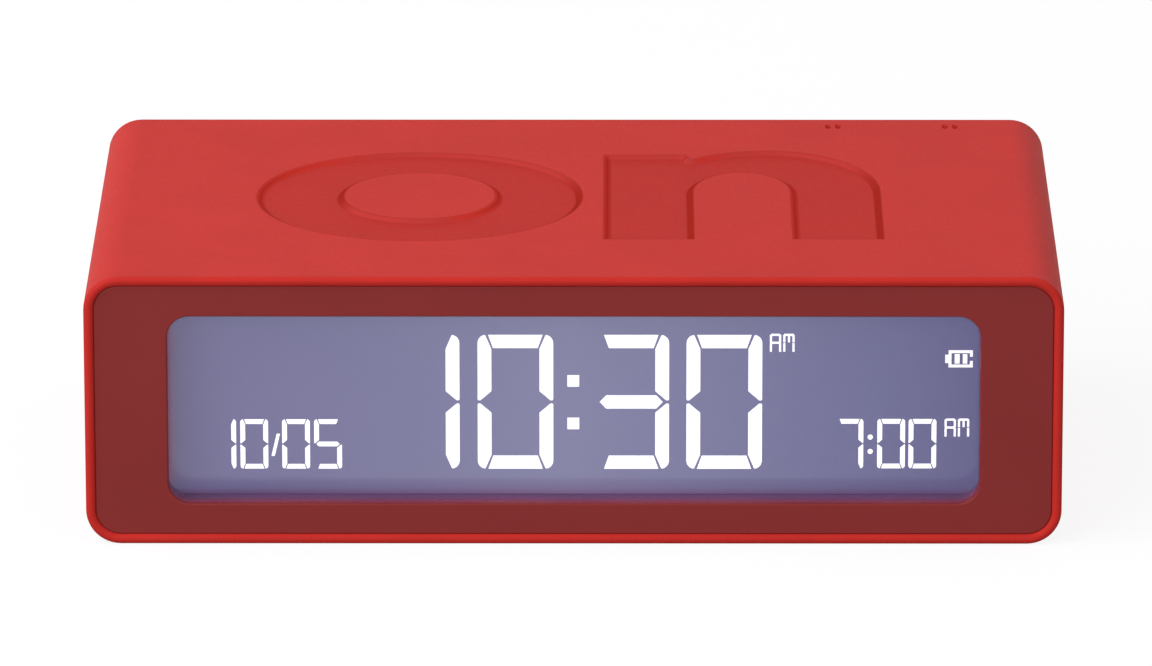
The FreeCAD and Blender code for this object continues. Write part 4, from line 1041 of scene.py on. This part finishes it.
print_white = Finish("print_white", linear(232, 226, 222), 0.6).mottle(0.5, 0.05)


MARK_REACH = 1.1
MARK_HALF = 0.2
MARK_THICK = 0.04
WORD_SIZE = 2.3
WORD_THICK = 0.02
WORD_RISE = 1.5


def make_key_marks():
    """A plus and a minus on the caps of the two lower keys."""
    for name, strokes in (("plus_key", 2), ("minus_key", 1)):
        low, high = span(name)
        x = (low.x + high.x) / 2
        z = (low.z + high.z) / 2
        outlines = [bar(x - MARK_REACH, x + MARK_REACH, z - MARK_HALF, z + MARK_HALF)]
        if strokes == 2:
            outlines.append(bar(x - MARK_HALF, x + MARK_HALF, z + MARK_HALF, z + MARK_REACH))
            outlines.append(bar(x - MARK_HALF, x + MARK_HALF, z - MARK_REACH, z - MARK_HALF))
        flat_layer(f"{name}_mark", outlines, high.y, print_white, name, MARK_THICK, facing=1)


def make_words():
    """The names of the two upper keys, printed on the rear plate above them."""
    plate = span("rear_housing")[1].y
    for key, word in (("mode_key", "MODE"), ("set_key", "SET")):
        low, high = span(key)
        curve = bpy.data.curves.new(f"{key}_word", "FONT")
        curve.body = word
        curve.size = WORD_SIZE * MM
        curve.extrude = WORD_THICK * MM
        curve.align_x = "CENTER"
        curve.align_y = "CENTER"
        text = bpy.data.objects.new(f"{key}_word", curve)
        bpy.context.scene.collection.objects.link(text)
        centre = (low.x + high.x) / 2
        text.location = (centre * MM, (plate + WORD_THICK) * MM, (high.z + WORD_RISE) * MM)
        text.rotation_euler = (math.radians(90), 0, math.radians(180))
        curve.materials.append(print_white.material)
        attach(text, BODY)


make_key_marks()
make_words()


# Floor, backdrop and lamps

FLOOR_REACH = 3.0
FLOOR_TONE = 0.35
FLOOR_GLOW = 0.875
SHADOW_TONE = 0.16
SKY_LIGHT = 0.5

floor_mesh = bpy.data.meshes.new("floor")
floor_corners = [(x * FLOOR_REACH, y * FLOOR_REACH, 0) for x, y in ((-1, -1), (1, -1), (1, 1), (-1, 1))]
floor_mesh.from_pydata(floor_corners, [], [(0, 1, 2, 3)])
floor = bpy.data.objects.new("floor", floor_mesh)
bpy.context.scene.collection.objects.link(floor)


def seen_directly(tree):
    """Whether a ray comes from the camera, a reflection or through glass."""
    path = tree.nodes.new("ShaderNodeLightPath")
    most = tree.nodes.new("ShaderNodeMath")
    most.operation = "MAXIMUM"
    tree.links.new(path.outputs["Is Glossy Ray"], most.inputs[0])
    tree.links.new(path.outputs["Is Transmission Ray"], most.inputs[1])
    either = tree.nodes.new("ShaderNodeMath")
    either.operation = "MAXIMUM"
    tree.links.new(path.outputs["Is Camera Ray"], either.inputs[0])
    tree.links.new(most.outputs[0], either.inputs[1])
    return either.outputs[0]


paper = bpy.data.materials.new("paper_white")
paper.use_nodes = True
tree = paper.node_tree
tree.nodes.clear()
diffuse = tree.nodes.new("ShaderNodeBsdfDiffuse")
diffuse.inputs[0].default_value = (*[FLOOR_TONE] * 3, 1)
thin = tree.nodes.new("ShaderNodeBsdfDiffuse")
thin.inputs[0].default_value = (*[SHADOW_TONE] * 3, 1)
glow = tree.nodes.new("ShaderNodeEmission")
glow.inputs[1].default_value = FLOOR_GLOW
lit = tree.nodes.new("ShaderNodeAddShader")
tree.links.new(thin.outputs[0], lit.inputs[0])
tree.links.new(glow.outputs[0], lit.inputs[1])
either = tree.nodes.new("ShaderNodeMixShader")
tree.links.new(seen_directly(tree), either.inputs[0])
tree.links.new(diffuse.outputs[0], either.inputs[1])
tree.links.new(lit.outputs[0], either.inputs[2])
output = tree.nodes.new("ShaderNodeOutputMaterial")
tree.links.new(either.outputs[0], output.inputs[0])
floor_mesh.materials.append(paper)

world = bpy.data.worlds.new("world")
bpy.context.scene.world = world
world.use_nodes = True
tree = world.node_tree
sky = tree.nodes["Background"]
sky.inputs[0].default_value = (1, 1, 1, 1)
strength = tree.nodes.new("ShaderNodeMapRange")
tree.links.new(seen_directly(tree), strength.inputs["Value"])
strength.inputs["To Min"].default_value = SKY_LIGHT
strength.inputs["To Max"].default_value = 1.0
tree.links.new(strength.outputs[0], sky.inputs[1])


def lamp(name, location, target, size, power):
    """A soft square lamp aimed at a point, places in millimetres."""
    data = bpy.data.lights.new(name, "AREA")
    data.size = size * MM
    data.energy = power
    thing = bpy.data.objects.new(name, data)
    bpy.context.scene.collection.objects.link(thing)
    thing.location = Vector(location) * MM
    aim = Vector(location) - Vector(target)
    thing.rotation_euler = aim.to_track_quat("Z", "Y").to_euler()


lamp("key", (-380, -150, 480), BODY_CENTRE, 380, 1.32)
lamp("fill", (-520, -880, 420), BODY_CENTRE, 500, 4.2)

bpy.context.scene.view_settings.view_transform = "Standard"
